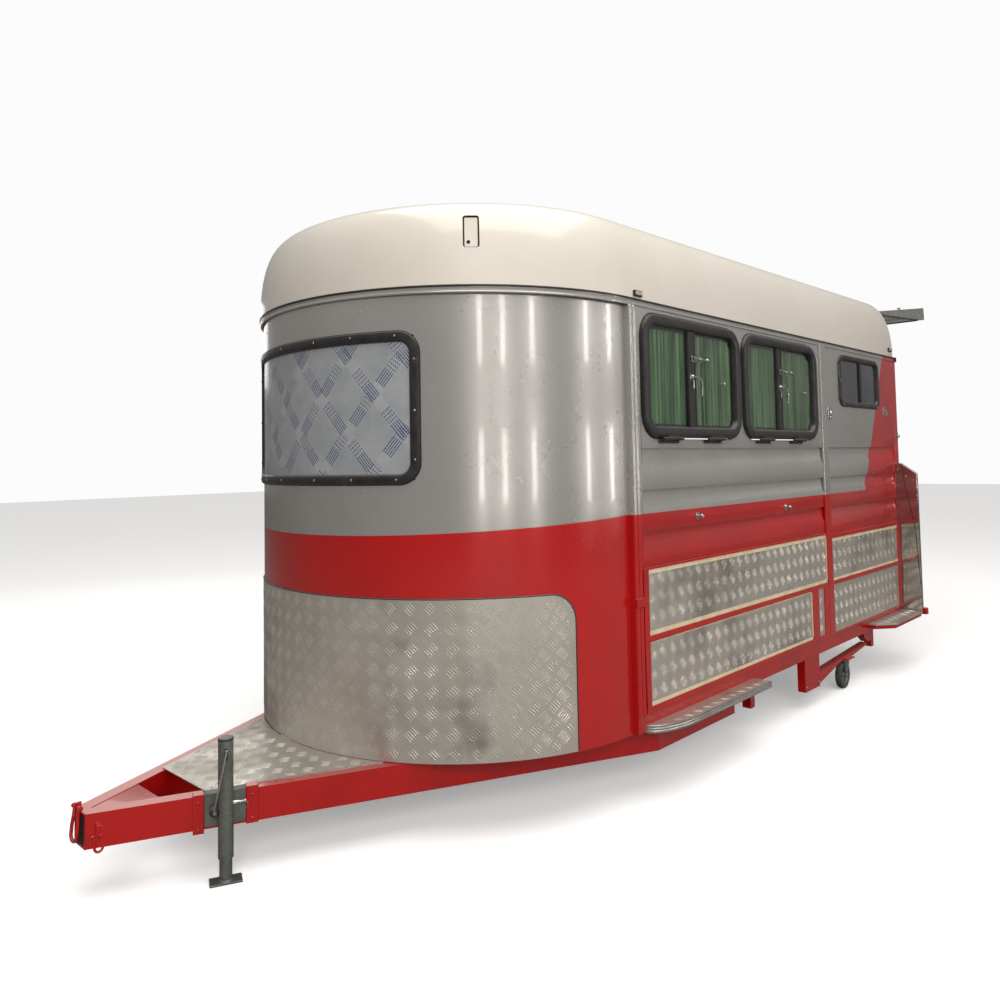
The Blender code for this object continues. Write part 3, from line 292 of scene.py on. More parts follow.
def tube(name, points, radius, material, body="trailer", closed=False, steps=10, replaces=()):
    """A round bar bent through points, with flat ends."""
    points = [Vector(p) for p in points]
    count = len(points)
    rings, previous = [], None
    for i, p in enumerate(points):
        before = points[i - 1] if (i or closed) else p
        after = points[(i + 1) % count] if (i + 1 < count or closed) else p
        along = (after - before).normalized()
        if previous is None:
            previous = along.orthogonal().normalized()
        previous = (previous - along * previous.dot(along)).normalized()
        across = along.cross(previous)
        rings.append([p + (previous * math.cos(a) + across * math.sin(a)) * radius
                      for a in (2 * math.pi * k / steps for k in range(steps))])
    return swept(name, rings, material, body, closed, replaces)


def turned(name, start, axis, profile, material, body="trailer", steps=32, replaces=()):
    """A lathe piece: (distance along the axis, radius) pairs turned about a line from start."""
    axis = Vector(axis).normalized()
    first = axis.orthogonal().normalized()
    second = axis.cross(first)
    vertices, faces, rings = [], [], []
    for along, radius in profile:
        centre = Vector(start) + axis * along
        if radius < 1e-6:
            rings.append([len(vertices)])
            vertices.append(centre)
            continue
        rings.append(range(len(vertices), len(vertices) + steps))
        vertices += [centre + (first * math.cos(a) + second * math.sin(a)) * radius
                     for a in (2 * math.pi * k / steps for k in range(steps))]
    for one, two in zip(rings, rings[1:]):
        for k in range(steps):
            n = (k + 1) % steps
            corners = [one[k % len(one)], one[n % len(one)], two[n % len(two)], two[k % len(two)]]
            faces.append(tuple(dict.fromkeys(corners)))
    return place(name, vertices, [f for f in faces if len(f) > 2], material, body, replaces)


def boxes(name, sizes, material, body="trailer", edge=0.0015, replaces=(), turn=None):
    """Several small blocks as one piece with rounded corners, each (x range, y range, z range)."""
    vertices, faces = [], []
    for x, y, z in sizes:
        n = len(vertices)
        vertices += [(a, b, c) for a in x for b in y for c in z]
        faces += [tuple(n + k for k in f) for f in ((0, 1, 3, 2), (4, 6, 7, 5), (0, 4, 5, 1), (2, 3, 7, 6),
                                                     (0, 2, 6, 4), (1, 5, 7, 3))]
    if turn:
        vertices = [turn @ Vector(v) for v in vertices]
    return rounded(place(name, vertices, faces, material, body, replaces, 40.0), edge)


# open end of the tip: a near-black plate just inside a thin red rim, painted shade standing in for the
# # hollow of the open arm, and the chain shackled beside it
# near-black blotched finish: painted shade, put where openings, hollows and corners would be in shadow
painted_shade_inside = worn_finish("painted_shade_inside", ((0.010, 0.008, 0.007), (0.035, 0.022, 0.018)), (30.0,),
                          Roughness=0.85)
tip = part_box("drawbar_frame")
TIP_FACE_Y = tip[0].y
TIP_HALF = 0.050
boxes("drawbar_tip_painted_shade", [((-TIP_HALF + 0.008, TIP_HALF - 0.008), (TIP_FACE_Y - 0.0006, TIP_FACE_Y + 0.001),
                             (tip[0].z + 0.008, tip[1].z - 0.008))], painted_shade_inside, edge=0.0004)
rim_y = (TIP_FACE_Y - 0.004, TIP_FACE_Y)
boxes("drawbar_tip_rim", [((-TIP_HALF, -TIP_HALF + 0.006), rim_y, (tip[0].z, tip[1].z)),
                          ((TIP_HALF - 0.006, TIP_HALF), rim_y, (tip[0].z, tip[1].z)),
                          ((-TIP_HALF, TIP_HALF), rim_y, (tip[0].z, tip[0].z + 0.006)),
                          ((-TIP_HALF, TIP_HALF), rim_y, (tip[1].z - 0.006, tip[1].z))], red_enamel,
      edge=0.001)


def shackle(name, pin, hang, across, length, width, wire):
    """A bow shackle: its pin through a lug, its bow hanging from the pin."""
    pin, hang, across = Vector(pin), Vector(hang).normalized(), Vector(across).normalized()
    half, waist = width / 2, width * 0.36
    bow = [(-waist, -wire), (-waist, length * 0.22), (-half, length * 0.55)]
    bow += [(-half * math.cos(a), length - half + half * math.sin(a))
            for a in (math.pi * k / 10 for k in range(1, 10))]
    bow += [(half, length * 0.55), (waist, length * 0.22), (waist, -wire)]
    path = [pin + across * a + hang * b for a, b in bow]
    tube(f"{name}_bow", path, wire, red_enamel, steps=10)
    eye = waist + wire * 1.5
    turned(f"{name}_pin", pin - across * (eye + 0.003), across,
           [(0, 0), (0, wire * 1.3), (0.005, wire * 1.3), (0.006, wire * 0.8), (2 * eye, wire * 0.8),
            (2 * eye, wire * 1.5), (2 * eye + 0.008, wire * 1.5), (2 * eye + 0.009, 0)], red_enamel, steps=12)


boxes("shackle_lugs", [((-0.006, 0.006), (TIP_FACE_Y - 0.024, TIP_FACE_Y + 0.002), (0.300, 0.352)),
                       ((TIP_HALF - 0.002, TIP_HALF + 0.026), (TIP_FACE_Y + 0.028, TIP_FACE_Y + 0.040),
                        (0.232, 0.274))], red_enamel, edge=0.002)
shackle("front_shackle", (0.0, TIP_FACE_Y - 0.014, 0.334), (0, -0.10, -1), (1, 0.05, 0), 0.120, 0.050, 0.0065)
shackle("side_shackle", (TIP_HALF + 0.016, TIP_FACE_Y + 0.034, 0.250), (0.10, 1, -0.06), (0, 0.06, 1), 0.088,
        0.044,
        0.0058)
shackle("hung_shackle", (TIP_HALF + 0.017, TIP_FACE_Y + 0.034, 0.236), (0.05, 0.1, -1), (0, 1, 0.1), 0.060,
        0.030,
        0.0048)


def dome_heads(name, heads, radius, height, material, body="trailer", sides=10):
    """Rivet or screw heads merged in one piece; heads are (point, outward direction) pairs."""
    vertices, faces = [], []
    for point, outward in heads:
        outward = Vector(outward).normalized()
        first = outward.orthogonal().normalized()
        second = outward.cross(first)
        n = len(vertices)
        for r, h in ((1.0, 0.0), (0.93, 0.55), (0.6, 0.92)):
            vertices += [Vector(point) + (first * math.cos(a) + second * math.sin(a)) * radius * r
                         + outward * height * h for a in (2 * math.pi * k / sides for k in range(sides))]
        vertices.append(Vector(point) + outward * height)
        for ring in (0, 1):
            faces += band(n + ring * sides, n + (ring + 1) * sides, sides)
        base = n + 2 * sides
        faces += [(base + k, base + (k + 1) % sides, n + 3 * sides) for k in range(sides)]
        faces.append(tuple(n + k for k in range(sides)))
    return place(name, vertices, faces, material, body, smooth=60.0)


# ---- drawbar deck -------------------------------------------------------------------------
# Five-bar tread plate, rolled from bright aluminium, laid over the arms and riveted down. On the real plate
# # the raised bars are polished by feet and the flats between them are duller and keep a little dust; here
# # bars and flats share one finish.
TREAD_CELL = 0.062
TREAD_BARS = 5


def tread_finish():
    material, tree, shader = finish("tread_plate", Metallic=0.7)
    worn = group(tree, blotch, Scale=5.0, Low=0.3, High=0.75)["Mask"]
    settled = group(tree, dust, Amount=0.5, Scale=20.0)["Mask"]
    metal = mix(tree, worn, (0.70, 0.665, 0.605), (0.52, 0.485, 0.43))
    # painted shade: big slow blotches darken the metal towards near-black in broad patches
    painted_shade_patches = group(tree, blotch, Scale=1.7, Low=0.53, High=0.66)["Mask"]
    metal = mix(tree, reckon(tree, "MULTIPLY", painted_shade_patches, 0.7), metal, (0.24, 0.22, 0.205))
    fine = group(tree, blotch, Scale=60.0, Low=0.25, High=0.8)["Mask"]
    both = reckon(tree, "MULTIPLY_ADD", fine, 0.35, worn, clamp=True)
    shade(tree, shader, mix(tree, settled, metal, DUST_COLOUR), both, (0.20, 0.42))
    relief(tree, shader, group(tree, peel, Scale=420.0, Ripple=2.0)["Height"], 0.002, 0.4)
    return material


tread_plate = tread_finish()


def tread_bars(name, to_world, inside, across, up, body="trailer", cell=TREAD_CELL, height=0.0013):
    """Raised bars in groups of five that turn a right angle from cell to cell.

    to_world(u, v, w) gives a point at height w off the plate, inside(u, v) tells where a bar may stand.
    """
    half, width = cell * 0.39, cell * 0.040
    shape = [(-1.0, 0.0, 0.0), (-0.55, -1.0, 0.0), (0.55, -1.0, 0.0), (1.0, 0.0, 0.0), (0.55, 1.0, 0.0),
             (-0.55, 1.0, 0.0), (-0.5, 0.0, 1.0), (0.5, 0.0, 1.0)]
    skin = [(0, 1, 6), (1, 2, 7, 6), (2, 3, 7), (3, 4, 7), (4, 5, 6, 7), (5, 0, 6)]
    turn = math.cos(math.pi / 4)
    pitch = cell * turn
    vertices, faces = [], []
    for i in range(int(across[0] // pitch), int(across[1] // pitch) + 2):
        for j in range(int(up[0] // pitch), int(up[1] // pitch) + 2):
            if (i + j) % 2:
                continue
            sign = 1 if i % 2 else -1
            for k in range(TREAD_BARS):
                shift = (k - (TREAD_BARS - 1) / 2) * cell * 0.185
                cu = i * pitch - sign * shift * turn
                cv = j * pitch + shift * turn
                ends = [(cu + e * half * turn, cv + e * sign * half * turn) for e in (-1, 1)]
                if not all(inside(u, v) for u, v in ends):
                    continue
                n = len(vertices)
                for a, b, w in shape:
                    u = cu + (a * half - b * width * sign) * turn
                    v = cv + (a * half * sign + b * width) * turn
                    vertices.append(to_world(u, v, w * height))
                faces += [tuple(n + q for q in f) for f in skin]
    mesh = bpy.data.meshes.new(name)
    mesh.from_pydata([tuple(p) for p in vertices], [], faces)
    return dress(name, mesh, tread_plate, body, smooth=50.0)


softened("drawbar_deck", tread_plate, 0.0012, 1)
deck_low, deck_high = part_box("drawbar_deck")
DECK_FRONT = deck_low.y
NOSE_EDGE = 1.0905
ARM_SPREAD = 0.460
deck_front_half = TIP_HALF + ARM_SPREAD * (DECK_FRONT + 3.450) - 0.045


def on_deck(x, y):
    if y < DECK_FRONT + 0.008 or math.hypot(x, y - at(0)) < NOSE_EDGE:
        return False
    return abs(x) < deck_front_half + ARM_SPREAD * (y - DECK_FRONT) - 0.012 and y < at(-0.985)


def deck_point(x, y, w):
    return x, y, deck_high.z + w


tread_bars("drawbar_deck_bars", deck_point, on_deck, (-0.6, 0.6), (DECK_FRONT, at(-0.9)))
deck_rivets = []
for side in (-1, 1):
    for share in (0.05, 0.3, 0.6, 0.92):
        y = DECK_FRONT + share * (at(-0.985) - DECK_FRONT)
        x = side * (deck_front_half + ARM_SPREAD * (y - DECK_FRONT) - 0.020)
        deck_rivets.append(((x, y, deck_high.z), (0, 0, 1)))

# ---- underframe and floor -----------------------------------------------------------------
# Welded box-section ring with crossmembers and the bare spring hangers, in the same red enamel.
# Resin-faced plywood boards lie on the crossmembers.
softened("underframe", red_enamel, 0.0025, 2)


def board_finish():
    material, tree, shader = finish("floor_board", Coat_Weight=0.15)
    grain = pattern(tree, "Noise", (40.0, 2.0, 40.0), Scale=2.0, Detail=6.0)["Fac"]
    tone = mix(tree, grain, (0.10, 0.055, 0.030), (0.25, 0.15, 0.085))
    settled = group(tree, dust, Amount=0.6, Scale=8.0)["Mask"]
    shade(tree, shader, mix(tree, settled, tone, DUST_COLOUR), grain, (0.45, 0.7))
    relief(tree, shader, grain, 0.001, 0.4)
    return material


floor_board = board_finish()
softened("floor", floor_board, 0.001, 1)

# ---- nose wall ----------------------------------------------------------------------------
# Three aluminium-faced sandwich sheets bent to a half circle and lapped at two upright joints,
# pop-riveted top and middle. Metallic silver is sprayed above a low red band.
NOSE_RADIUS = 1.075
NOSE_WALL_THICKNESS = 0.032
SEAM_Z = 2.330
PAINT_LINE_Z = 1.317


def livery_mask():
    """Where the red is: below the paint line, and behind the slanting edge at the rear."""
    tree, given, out = effect("livery", [], [("Red", "Float")])
    where = add(tree, "ShaderNodeTexCoord")
    axis = add(tree, "ShaderNodeSeparateXYZ", {"Vector": where.outputs["Object"]})
    forward = reckon(tree, "MINIMUM", axis.outputs["Y"], at(0))
    drop = reckon(tree, "MULTIPLY_ADD", forward, 0.0512, PAINT_LINE_Z + 0.0737)
    below = reckon(tree, "LESS_THAN", axis.outputs["Z"], drop)
    slant = reckon(tree, "MULTIPLY_ADD", axis.outputs["Z"], 0.4646, at(2.94) - 0.4646 * 1.32)
    behind = reckon(tree, "GREATER_THAN", axis.outputs["Y"], slant)
    tree.links.new(reckon(tree, "MAXIMUM", below, behind), out.inputs["Red"])
    return tree


livery = livery_mask()
SILVER_PAINT = (0.500, 0.485, 0.465)
SILVER_SHADE = (0.425, 0.410, 0.392)


def silver_enamel_finish():
    material, tree, shader = finish("silver_enamel", Coat_Weight=0.7, Coat_Roughness=0.06)
    red = group(tree, livery)["Red"]
    drift = group(tree, blotch, Scale=1.6, Low=0.3, High=0.7)["Mask"]
    silver = mix(tree, drift, SILVER_PAINT, SILVER_SHADE)
    painted = mix(tree, red, silver, mix(tree, drift, RED_PAINT, RED_DEEP))
    shade(tree, shader, painted, drift, (0.24, 0.31))
    tree.links.new(between(tree, red, 0.62, 0.0), shader.inputs["Metallic"])
    relief(tree, shader, group(tree, peel, Scale=240.0, Ripple=1.2)["Height"], 0.0018, 0.35)
    return material


silver_enamel = silver_enamel_finish()


def nose_point(angle, radius, z):
    return radius * math.sin(angle), at(0) - radius * math.cos(angle), z


def shell(name, outer, inner, material, hole=lambda i, j: False, **settings):
    """A sheet from two grids of points, closed round its edge and round any hole."""
    wide, depth = len(outer), len(outer[0])
    far = wide * depth
    faces = []
    for a, i, j in ((i * depth + j, i, j) for i in range(wide - 1) for j in range(depth - 1)):
        if not hole(i, j):
            faces += [(a, a + depth, a + depth + 1, a + 1),
                      (far + a, far + a + 1, far + a + depth + 1, far + a + depth)]
    edges = {(a, b) for face in faces[::2] for a, b in zip(face, face[1:] + face[:1])}
    faces += [(b, a, a + far, b + far) for a, b in sorted(edges) if (b, a) not in edges]
    return place(name, [p for grid in (outer, inner) for column in grid for p in column], faces, material,
                 **settings)


def nose_skin():
    """Lapped sheets: the middle ones stand a sheet's thickness proud, with a real step at each joint."""
    laps = (-68.0, -21.5, 21.5, 68.0)
    base_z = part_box("nose_wall")[0].z
    hole_angle, hole_z = math.radians(34.3), (1.503, 2.128)
    columns = []
    count = 96
    for i in range(count + 1):
        angle = -90.0 + 180.0 * i / count
        columns.append((math.radians(angle), 0.0011 if laps[1] < angle < laps[2] else
                        0.0006 if laps[0] < angle < laps[3] else 0.0))
    for lap, (near, far) in zip(laps, ((0.0, 0.0006), (0.0006, 0.0011), (0.0011, 0.0006), (0.0006, 0.0))):
        columns += [(math.radians(lap) - 1e-5, near), (math.radians(lap) + 1e-5, far)]
    columns += [(-hole_angle, 0.0006), (hole_angle, 0.0006)]
    columns.sort()
    rows = [base_z, 0.5, 0.8, 1.0, 1.2, 1.3, 1.4, hole_z[0], 1.7, 1.9, hole_z[1], 2.2, SEAM_Z]
    outer = [[nose_point(angle, NOSE_RADIUS + proud, z) for z in rows] for angle, proud in columns]
    inner = [[nose_point(angle, NOSE_RADIUS - NOSE_WALL_THICKNESS, z) for z in rows] for angle,
             proud in columns]
    shell("nose_skin", outer, inner, silver_enamel,
          lambda i, j: abs(columns[i][0] + columns[i + 1][0]) < 2 * hole_angle and hole_z[0] <= rows[j] < hole_z[1],
          replaces=("nose_wall",), smooth=30.0)


nose_skin()


def aluminium_finish():
    material, tree, shader = finish("aluminium_strip", Metallic=1.0)
    lines = pattern(tree, "Noise", (300.0, 4.0, 300.0), Scale=1.0, Detail=3.0)["Fac"]
    tone = mix(tree, group(tree, blotch, Scale=12.0)["Mask"], (0.66, 0.65, 0.63), (0.52, 0.51, 0.49))
    shade(tree, shader, tone, lines, (0.22, 0.46))
    relief(tree, shader, lines, 0.0004, 0.25)
    return material


aluminium_strip = aluminium_finish()
nose_rivets = []
for lap in (-68.0, -21.5, 21.5, 68.0):
    for z in (2.24, 1.454):
        angle = math.radians(lap - 0.6 * (1 if lap > 0 else -1))
        point = nose_point(angle, NOSE_RADIUS + 0.001, z)
        nose_rivets.append((point, (math.sin(angle), -math.cos(angle), 0)))
dome_heads("nose_rivets", nose_rivets, 0.005, 0.002, aluminium_strip)
dome_heads("deck_rivets", deck_rivets, 0.006, 0.0025, aluminium_strip)

# ---- nose window --------------------------------------------------------------------------
# A curved acrylic pane clamped under a black rubber and steel surround with ten bright screws.
# The maker's pale protective film, with its printed diagonal lattice, is still on the pane.
NOSE_WINDOW_HALF = math.radians(35.6)
NOSE_WINDOW_Z = (1.485, 2.145)
SURROUND_WIDTH = 0.045


black_rubber = worn_finish("black_rubber", ((0.012, 0.011, 0.012), (0.030, 0.028, 0.029)), (18.0, 0.35, 0.75),
                           (0.33, 0.55), (0.5, 30.0, DUST_COLOUR), False, (600.0, 0.6, 0.002, 0.5),
                           Coat_Weight=0.12)


def rounded_loop(u, v, radius, inset=0.0, corner=8, along=1):
    """Corner-rounded rectangle as (u, v) points, moved inward by inset, the same count at any inset."""
    radius = max(radius - inset, 0.002)
    u = (u[0] + inset, u[1] - inset)
    v = (v[0] + inset, v[1] - inset)
    centres = ((u[1] - radius, v[1] - radius), (u[0] + radius, v[1] - radius),
               (u[0] + radius, v[0] + radius), (u[1] - radius, v[0] + radius))
    corners = []
    for k, (cu, cv) in enumerate(centres):
        corners.append([(cu + radius * math.cos(a), cv + radius * math.sin(a))
                        for a in ((k + i / corner) * math.pi / 2 for i in range(corner + 1))])
    points = []
    for k, arc_points in enumerate(corners):
        points += arc_points
        start, stop = arc_points[-1], corners[(k + 1) % 4][0]
        points += [tuple(start[d] + (stop[d] - start[d]) * i / along for d in (0, 1))
                   for i in range(1, along)]
    return points


def surround(name, to_world, u, v, radius, section, material, body="trailer", along=1, replaces=(),
             smooth=35.0):
    """A closed section of (inset, height) points run round a rounded rectangle."""
    rings = [[to_world(a, b, h) for a, b in rounded_loop(u, v, radius, inset, along=along)] for inset,
             h in section]
    return swept(name, rings, material, body, True, replaces, smooth)


def on_nose(u, v, w):
    return nose_point(u / NOSE_RADIUS, NOSE_RADIUS + w, v)


nose_u = (-NOSE_WINDOW_HALF * NOSE_RADIUS, NOSE_WINDOW_HALF * NOSE_RADIUS)
surround("nose_window_surround", on_nose, nose_u, NOSE_WINDOW_Z, 0.095,
         [(0.000, 0.0012), (0.000, 0.007), (0.004, 0.012), (0.012, 0.0142), (0.022, 0.0146), (0.034, 0.0138),
          (0.041, 0.011), (0.0445, 0.006), (0.0450, -0.006), (0.030, -0.008), (0.028, 0.0012)],
         black_rubber, along=24, replaces=("nose_window_frame",))
surround("nose_window_lip", on_nose, nose_u, NOSE_WINDOW_Z, 0.095,
         [(-0.004, 0.0012), (-0.004, 0.003), (0.001, 0.0035), (0.001, 0.0012)], black_rubber, along=24)


LATTICE_LEAN, LATTICE_PITCH = 0.82, 0.280


def film_finish():
    """Milky film printed with a lattice of pale bands, each band a row of short strokes."""
    material, tree, shader = finish("protective_film", Coat_Weight=0.35, Coat_Roughness=0.12)
    where = add(tree, "ShaderNodeTexCoord")
    axis = add(tree, "ShaderNodeSeparateXYZ", {"Vector": where.outputs["Object"]})
    angle = reckon(tree, "ARCTAN2", axis.outputs["X"], reckon(tree, "SUBTRACT", at(0), axis.outputs["Y"]))
    run, height = reckon(tree, "MULTIPLY", angle, NOSE_RADIUS), axis.outputs["Z"]

    def times(first, second):
        return reckon(tree, "MULTIPLY", first, second)

    def part_of(value):
        return reckon(tree, "FRACT", value)

    strokes, bands = [], []
    for sign in (1.0, -1.0):
        tilt = reckon(tree, "ADD", times(height, sign * LATTICE_LEAN), run)
        other = reckon(tree, "ADD", height, times(run, -sign * LATTICE_LEAN))
        cell = reckon(tree, "DIVIDE", tilt, LATTICE_PITCH)
        band_here = reckon(tree, "LESS_THAN", part_of(cell), 0.24)
        rows = reckon(tree, "LESS_THAN", part_of(times(cell, 20.0)), 0.42)
        along = part_of(times(other, 1 / LATTICE_PITCH))
        dash = reckon(tree, "LESS_THAN", part_of(times(other, 45.0)), 0.60)
        solid = reckon(tree, "MAXIMUM", reckon(tree, "LESS_THAN", along, 0.62), dash)
        stroke = times(rows, times(solid, reckon(tree, "GREATER_THAN", along, 0.27)))
        strokes.append(times(stroke, band_here))
        bands.append(band_here)
    haze = group(tree, blotch, Scale=7.0, Low=0.35, High=0.7)["Mask"]
    ground = mix(tree, haze, (0.330, 0.345, 0.360), (0.255, 0.270, 0.290))
    ground = mix(tree, times(reckon(tree, "MAXIMUM", *bands), 0.35), ground, (0.40, 0.415, 0.43))
    ground = mix(tree, times(reckon(tree, "MAXIMUM", *strokes), 0.92), ground, (0.035, 0.048, 0.150))
    wrinkle = pattern(tree, "Noise", Scale=9.0, Detail=3.0, Distortion=1.2)["Fac"]
    shade(tree, shader, ground, wrinkle, (0.18, 0.40))
    relief(tree, shader, wrinkle, 0.004, 0.35)
    return material


def nose_pane():
    """Pane and film as one sheet bent to the nose's curve."""
    film = film_finish()
    u = (nose_u[0] + SURROUND_WIDTH - 0.008, nose_u[1] - SURROUND_WIDTH + 0.008)
    v = (NOSE_WINDOW_Z[0] + SURROUND_WIDTH - 0.008, NOSE_WINDOW_Z[1] - SURROUND_WIDTH + 0.008)
    across, up = 60, 16
    outer, inner = ([[on_nose(u[0] + (u[1] - u[0]) * i / across, v[0] + (v[1] - v[0]) * j / up, w)
                      for j in range(up + 1)] for i in range(across + 1)] for w in (-0.0015, -0.008))
    shell("nose_window_film", outer, inner, film, replaces=("nose_window_pane",))


nose_pane()
bright_steel = worn_finish("bright_steel", ((0.62, 0.61, 0.59), (0.40, 0.39, 0.38)), (40.0,), (0.12, 0.30),
                           Metallic=1.0)
screws = []
for angle_share, z in [(s * side, z) for side in (-1, 1) for s, z in (
        (0.20, 2.126), (0.52, 2.126), (0.84, 2.124), (0.968, 2.02), (0.968, 1.80), (0.968, 1.59),
        (0.84, 1.505),
        (0.52, 1.505), (0.20, 1.505))]:
    angle = angle_share * NOSE_WINDOW_HALF
    screws.append((nose_point(angle, NOSE_RADIUS + 0.0138, z), (math.sin(angle), -math.cos(angle), 0)))
dome_heads("nose_window_screws", screws, 0.0055, 0.003, bright_steel)

# ---- stone guard --------------------------------------------------------------------------
# Tread plate wrapped round the foot of the nose against thrown stones, its upper corners
# rounded, its cut edge hidden by a thin black sealing bead.
GUARD_HALF = math.radians(71.5)
GUARD_TOP_Z = 1.000
GUARD_CORNER = 0.120
guard_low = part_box("stone_guard")[0].z
GUARD_FACE = NOSE_RADIUS + 0.0052


def guard_top(u):
    """Height of the guard's upper edge at a distance along it."""
    into = abs(u) - (GUARD_HALF * NOSE_RADIUS - GUARD_CORNER)
    if into <= 0:
        return GUARD_TOP_Z
    return GUARD_TOP_Z - GUARD_CORNER + math.sqrt(max(GUARD_CORNER ** 2 - into ** 2, 0))


def stone_guard():
    us = [GUARD_HALF * NOSE_RADIUS * i / 60 for i in range(-60, 61)]
    end = GUARD_HALF * NOSE_RADIUS
    us += [s * (end - GUARD_CORNER * (1 - math.sin(k / 14 * math.pi / 2))) for k in range(1, 14)
           for s in (-1, 1)]
    us = sorted(set(round(u, 6) for u in us))
    proud = GUARD_FACE - NOSE_RADIUS
    rings = [[on_nose(u, z, w) for w, z in ((0.0014, guard_low), (proud, guard_low), (proud, guard_top(u)),
                                            (0.0014, guard_top(u)))] for u in us]
    swept("stone_guard_sheet", rings, tread_plate, replaces=("stone_guard",), smooth=35.0)
    edge = [(-end, guard_low + 0.002)] + [(u, guard_top(u)) for u in us] + [(end, guard_low + 0.002)]
    tube("stone_guard_bead", [on_nose(u, z, 0.0045) for u, z in edge], 0.0032, black_rubber, steps=8)


stone_guard()


def on_guard(u, v):
    return abs(u) < GUARD_HALF * NOSE_RADIUS - 0.010 and guard_low + 0.006 < v < guard_top(u) - 0.009


tread_bars("stone_guard_bars", lambda u, v, w: on_nose(u, v, GUARD_FACE - NOSE_RADIUS + w), on_guard,
           (-1.36, 1.36), (guard_low, GUARD_TOP_Z))

# ---- corner trims -------------------------------------------------------------------------
# Rolled steel posts with twin half-round ribs that cover the joints between nose and sides. They
# are sprayed with the walls, silver over red, and their heads are rounded off below the gutter.
HALF_WIDTH = 1.10


def corner_trim(label, side):
    low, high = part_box(f"{label}_corner_trim")
    start, end = low.y + 0.0005, high.y - 0.0005
    rib = 0.0125
    head = 2.302
    section = [(-0.030, start), (0.0, start)]
    for centre in (start + rib + 0.002, end - rib - 0.002):
        section += [(rib * math.cos(a), centre + rib * math.sin(a))
                    for a in (-math.pi / 2 + math.pi * k / 12 for k in range(13))]
    section += [(0.0, end), (-0.030, end)]
    levels = [(low.z, 1.0), (head - 0.030, 1.0), (head - 0.012, 0.93), (head - 0.004, 0.7), (head, 0.25)]
    levels += [(head + 0.0005, 0.0), (high.z, 0.0)]
    rings = [[(side * (HALF_WIDTH + (w * proud if w > 0 else w)), y, z) for w, y in section] for z,
             proud in levels]
    swept(f"{label}_corner_post", rings, silver_enamel, replaces=(f"{label}_corner_trim",))


for label, side in SIDES:
    corner_trim(label, side)

# ---- side walls ---------------------------------------------------------------------------
# Aluminium-faced panels with three pressed swages, silver above and red below, with the red
# carried up over the rear corner. A capping strip covers the joint between front and rear panels.
for label in ("left", "right"):
    for kind, material, edge, segments in (("wall", silver_enamel, 0.003, 3),
                                           ("kick_board", red_enamel, 0.001, 1)):
        for part in ("front", "rear"):
            softened(f"{label}_{part}_{kind}", material, edge, segments)


def on_side(side):
    def to_world(station, z, w):
        return side * (HALF_WIDTH + w), at(station), z
    return to_world


def side_boxes(name, side, sizes, material, body="trailer", edge=0.0015):
    """Blocks on a side wall, each (station range, height range, outward range)."""
    return boxes(name, [(sorted((side * (HALF_WIDTH + w[0]), side * (HALF_WIDTH + w[1]))),
                         (at(s[0]), at(s[1])), z)
                        for s, z, w in sizes], material, body, edge)


RAIL_FACE = (-0.001, 0.009)
for label, side in SIDES:
    side_boxes(f"{label}_joint_cover", side, [((2.193, 2.279), (0.400, 2.302), (-0.002, 0.012))],
               silver_enamel,
               edge=0.005)
    front_end = 0.065 if side > 0 else 0.860
    front_run, rear_run, front_post = (front_end, 2.200), (2.270, 3.600), (front_end, front_end + 0.041)
    rails = [(front_run, (0.722, 0.747)), (rear_run, (0.722, 0.747)), (front_run, (0.399, 0.424)),
             (rear_run, (0.399, 0.412)), (front_post, (0.424, 0.722)), (front_post, (0.747, 1.055)),
             ((1.943, 2.035), (0.424, 0.722)), ((2.129, 2.200), (0.424, 0.722)),
             ((3.556, 3.600), (0.412, 0.722)),
             ((3.556, 3.600), (0.747, 1.025)), (front_run, (1.055, 1.066)), (rear_run, (1.025, 1.052))]
    side_boxes(f"{label}_rails", side, [(s, z, RAIL_FACE) for s, z in rails], red_enamel)
side_boxes("left_corner_block", 1, [((-0.004, 0.062), (0.893, 0.932), (0.0, 0.0165))], red_enamel, edge=0.002)

# ---- side tread plates --------------------------------------------------------------------
# The same five-bar plate let in between the red rails to take kicks and stones. Strips of cream
# masking tape still edge the upper plates.
def tape_finish():
    material, tree, shader = finish("masking_tape", Roughness=0.75)
    tone = mix(tree, group(tree, blotch, Scale=9.0)["Mask"], (0.74, 0.62, 0.43), (0.62, 0.50, 0.33))
    shade(tree, shader, tone)
    relief(tree, shader, pattern(tree, "Noise", Scale=160.0, Detail=3.0)["Fac"], 0.0008, 0.5)
    return material


masking_tape = tape_finish()


def side_plates(label, side):
    front_start = 0.106 if side > 0 else 0.901
    areas = [((front_start, 2.198), (0.748, 1.054)), ((front_start, 1.942), (0.425, 0.721)),
             ((2.036, 2.128), (0.425, 0.721)), ((2.272, 3.555), (0.748, 1.024)),
             ((2.272, 3.555), (0.413, 0.721))]
    side_boxes(f"{label}_plates", side, [(s, z, (0.0005, 0.0025)) for s, z in areas], tread_plate,
               edge=0.0004)
    where = on_side(side)
    clear = 0.005
    for number, (s, z) in enumerate(areas, 1):
        tread_bars(f"{label}_plate_bars_{number}", lambda u, v, w: where(u, v, 0.0025 + w),
                   lambda u, v: s[0] + clear < u < s[1] - clear and z[0] + clear < v < z[1] - clear, s, z)
    tape = 0.020
    (fs, fz), (ls, lz), _, (rs, rz), _ = areas
    strips = [(fs, (fz[1] - tape, fz[1])), (fs, (fz[0], fz[0] + tape)), ((fs[1] - 0.012, fs[1]), fz),
              (ls, (lz[0], lz[0] + tape * 0.8)), ((ls[1] - 0.010, ls[1]), lz), (ls, (lz[1] - 0.008, lz[1])),
              (rs, (rz[1] - tape, rz[1])), (rs, (rz[0], rz[0] + tape * 0.7)), ((rs[0], rs[0] + 0.010), rz)]
    side_boxes(f"{label}_masking_strips", side, [(s, z, (0.0026, 0.0046)) for s, z in strips], masking_tape,
               edge=0.0004)


side_plates("left", 1)
side_plates("right", -1)

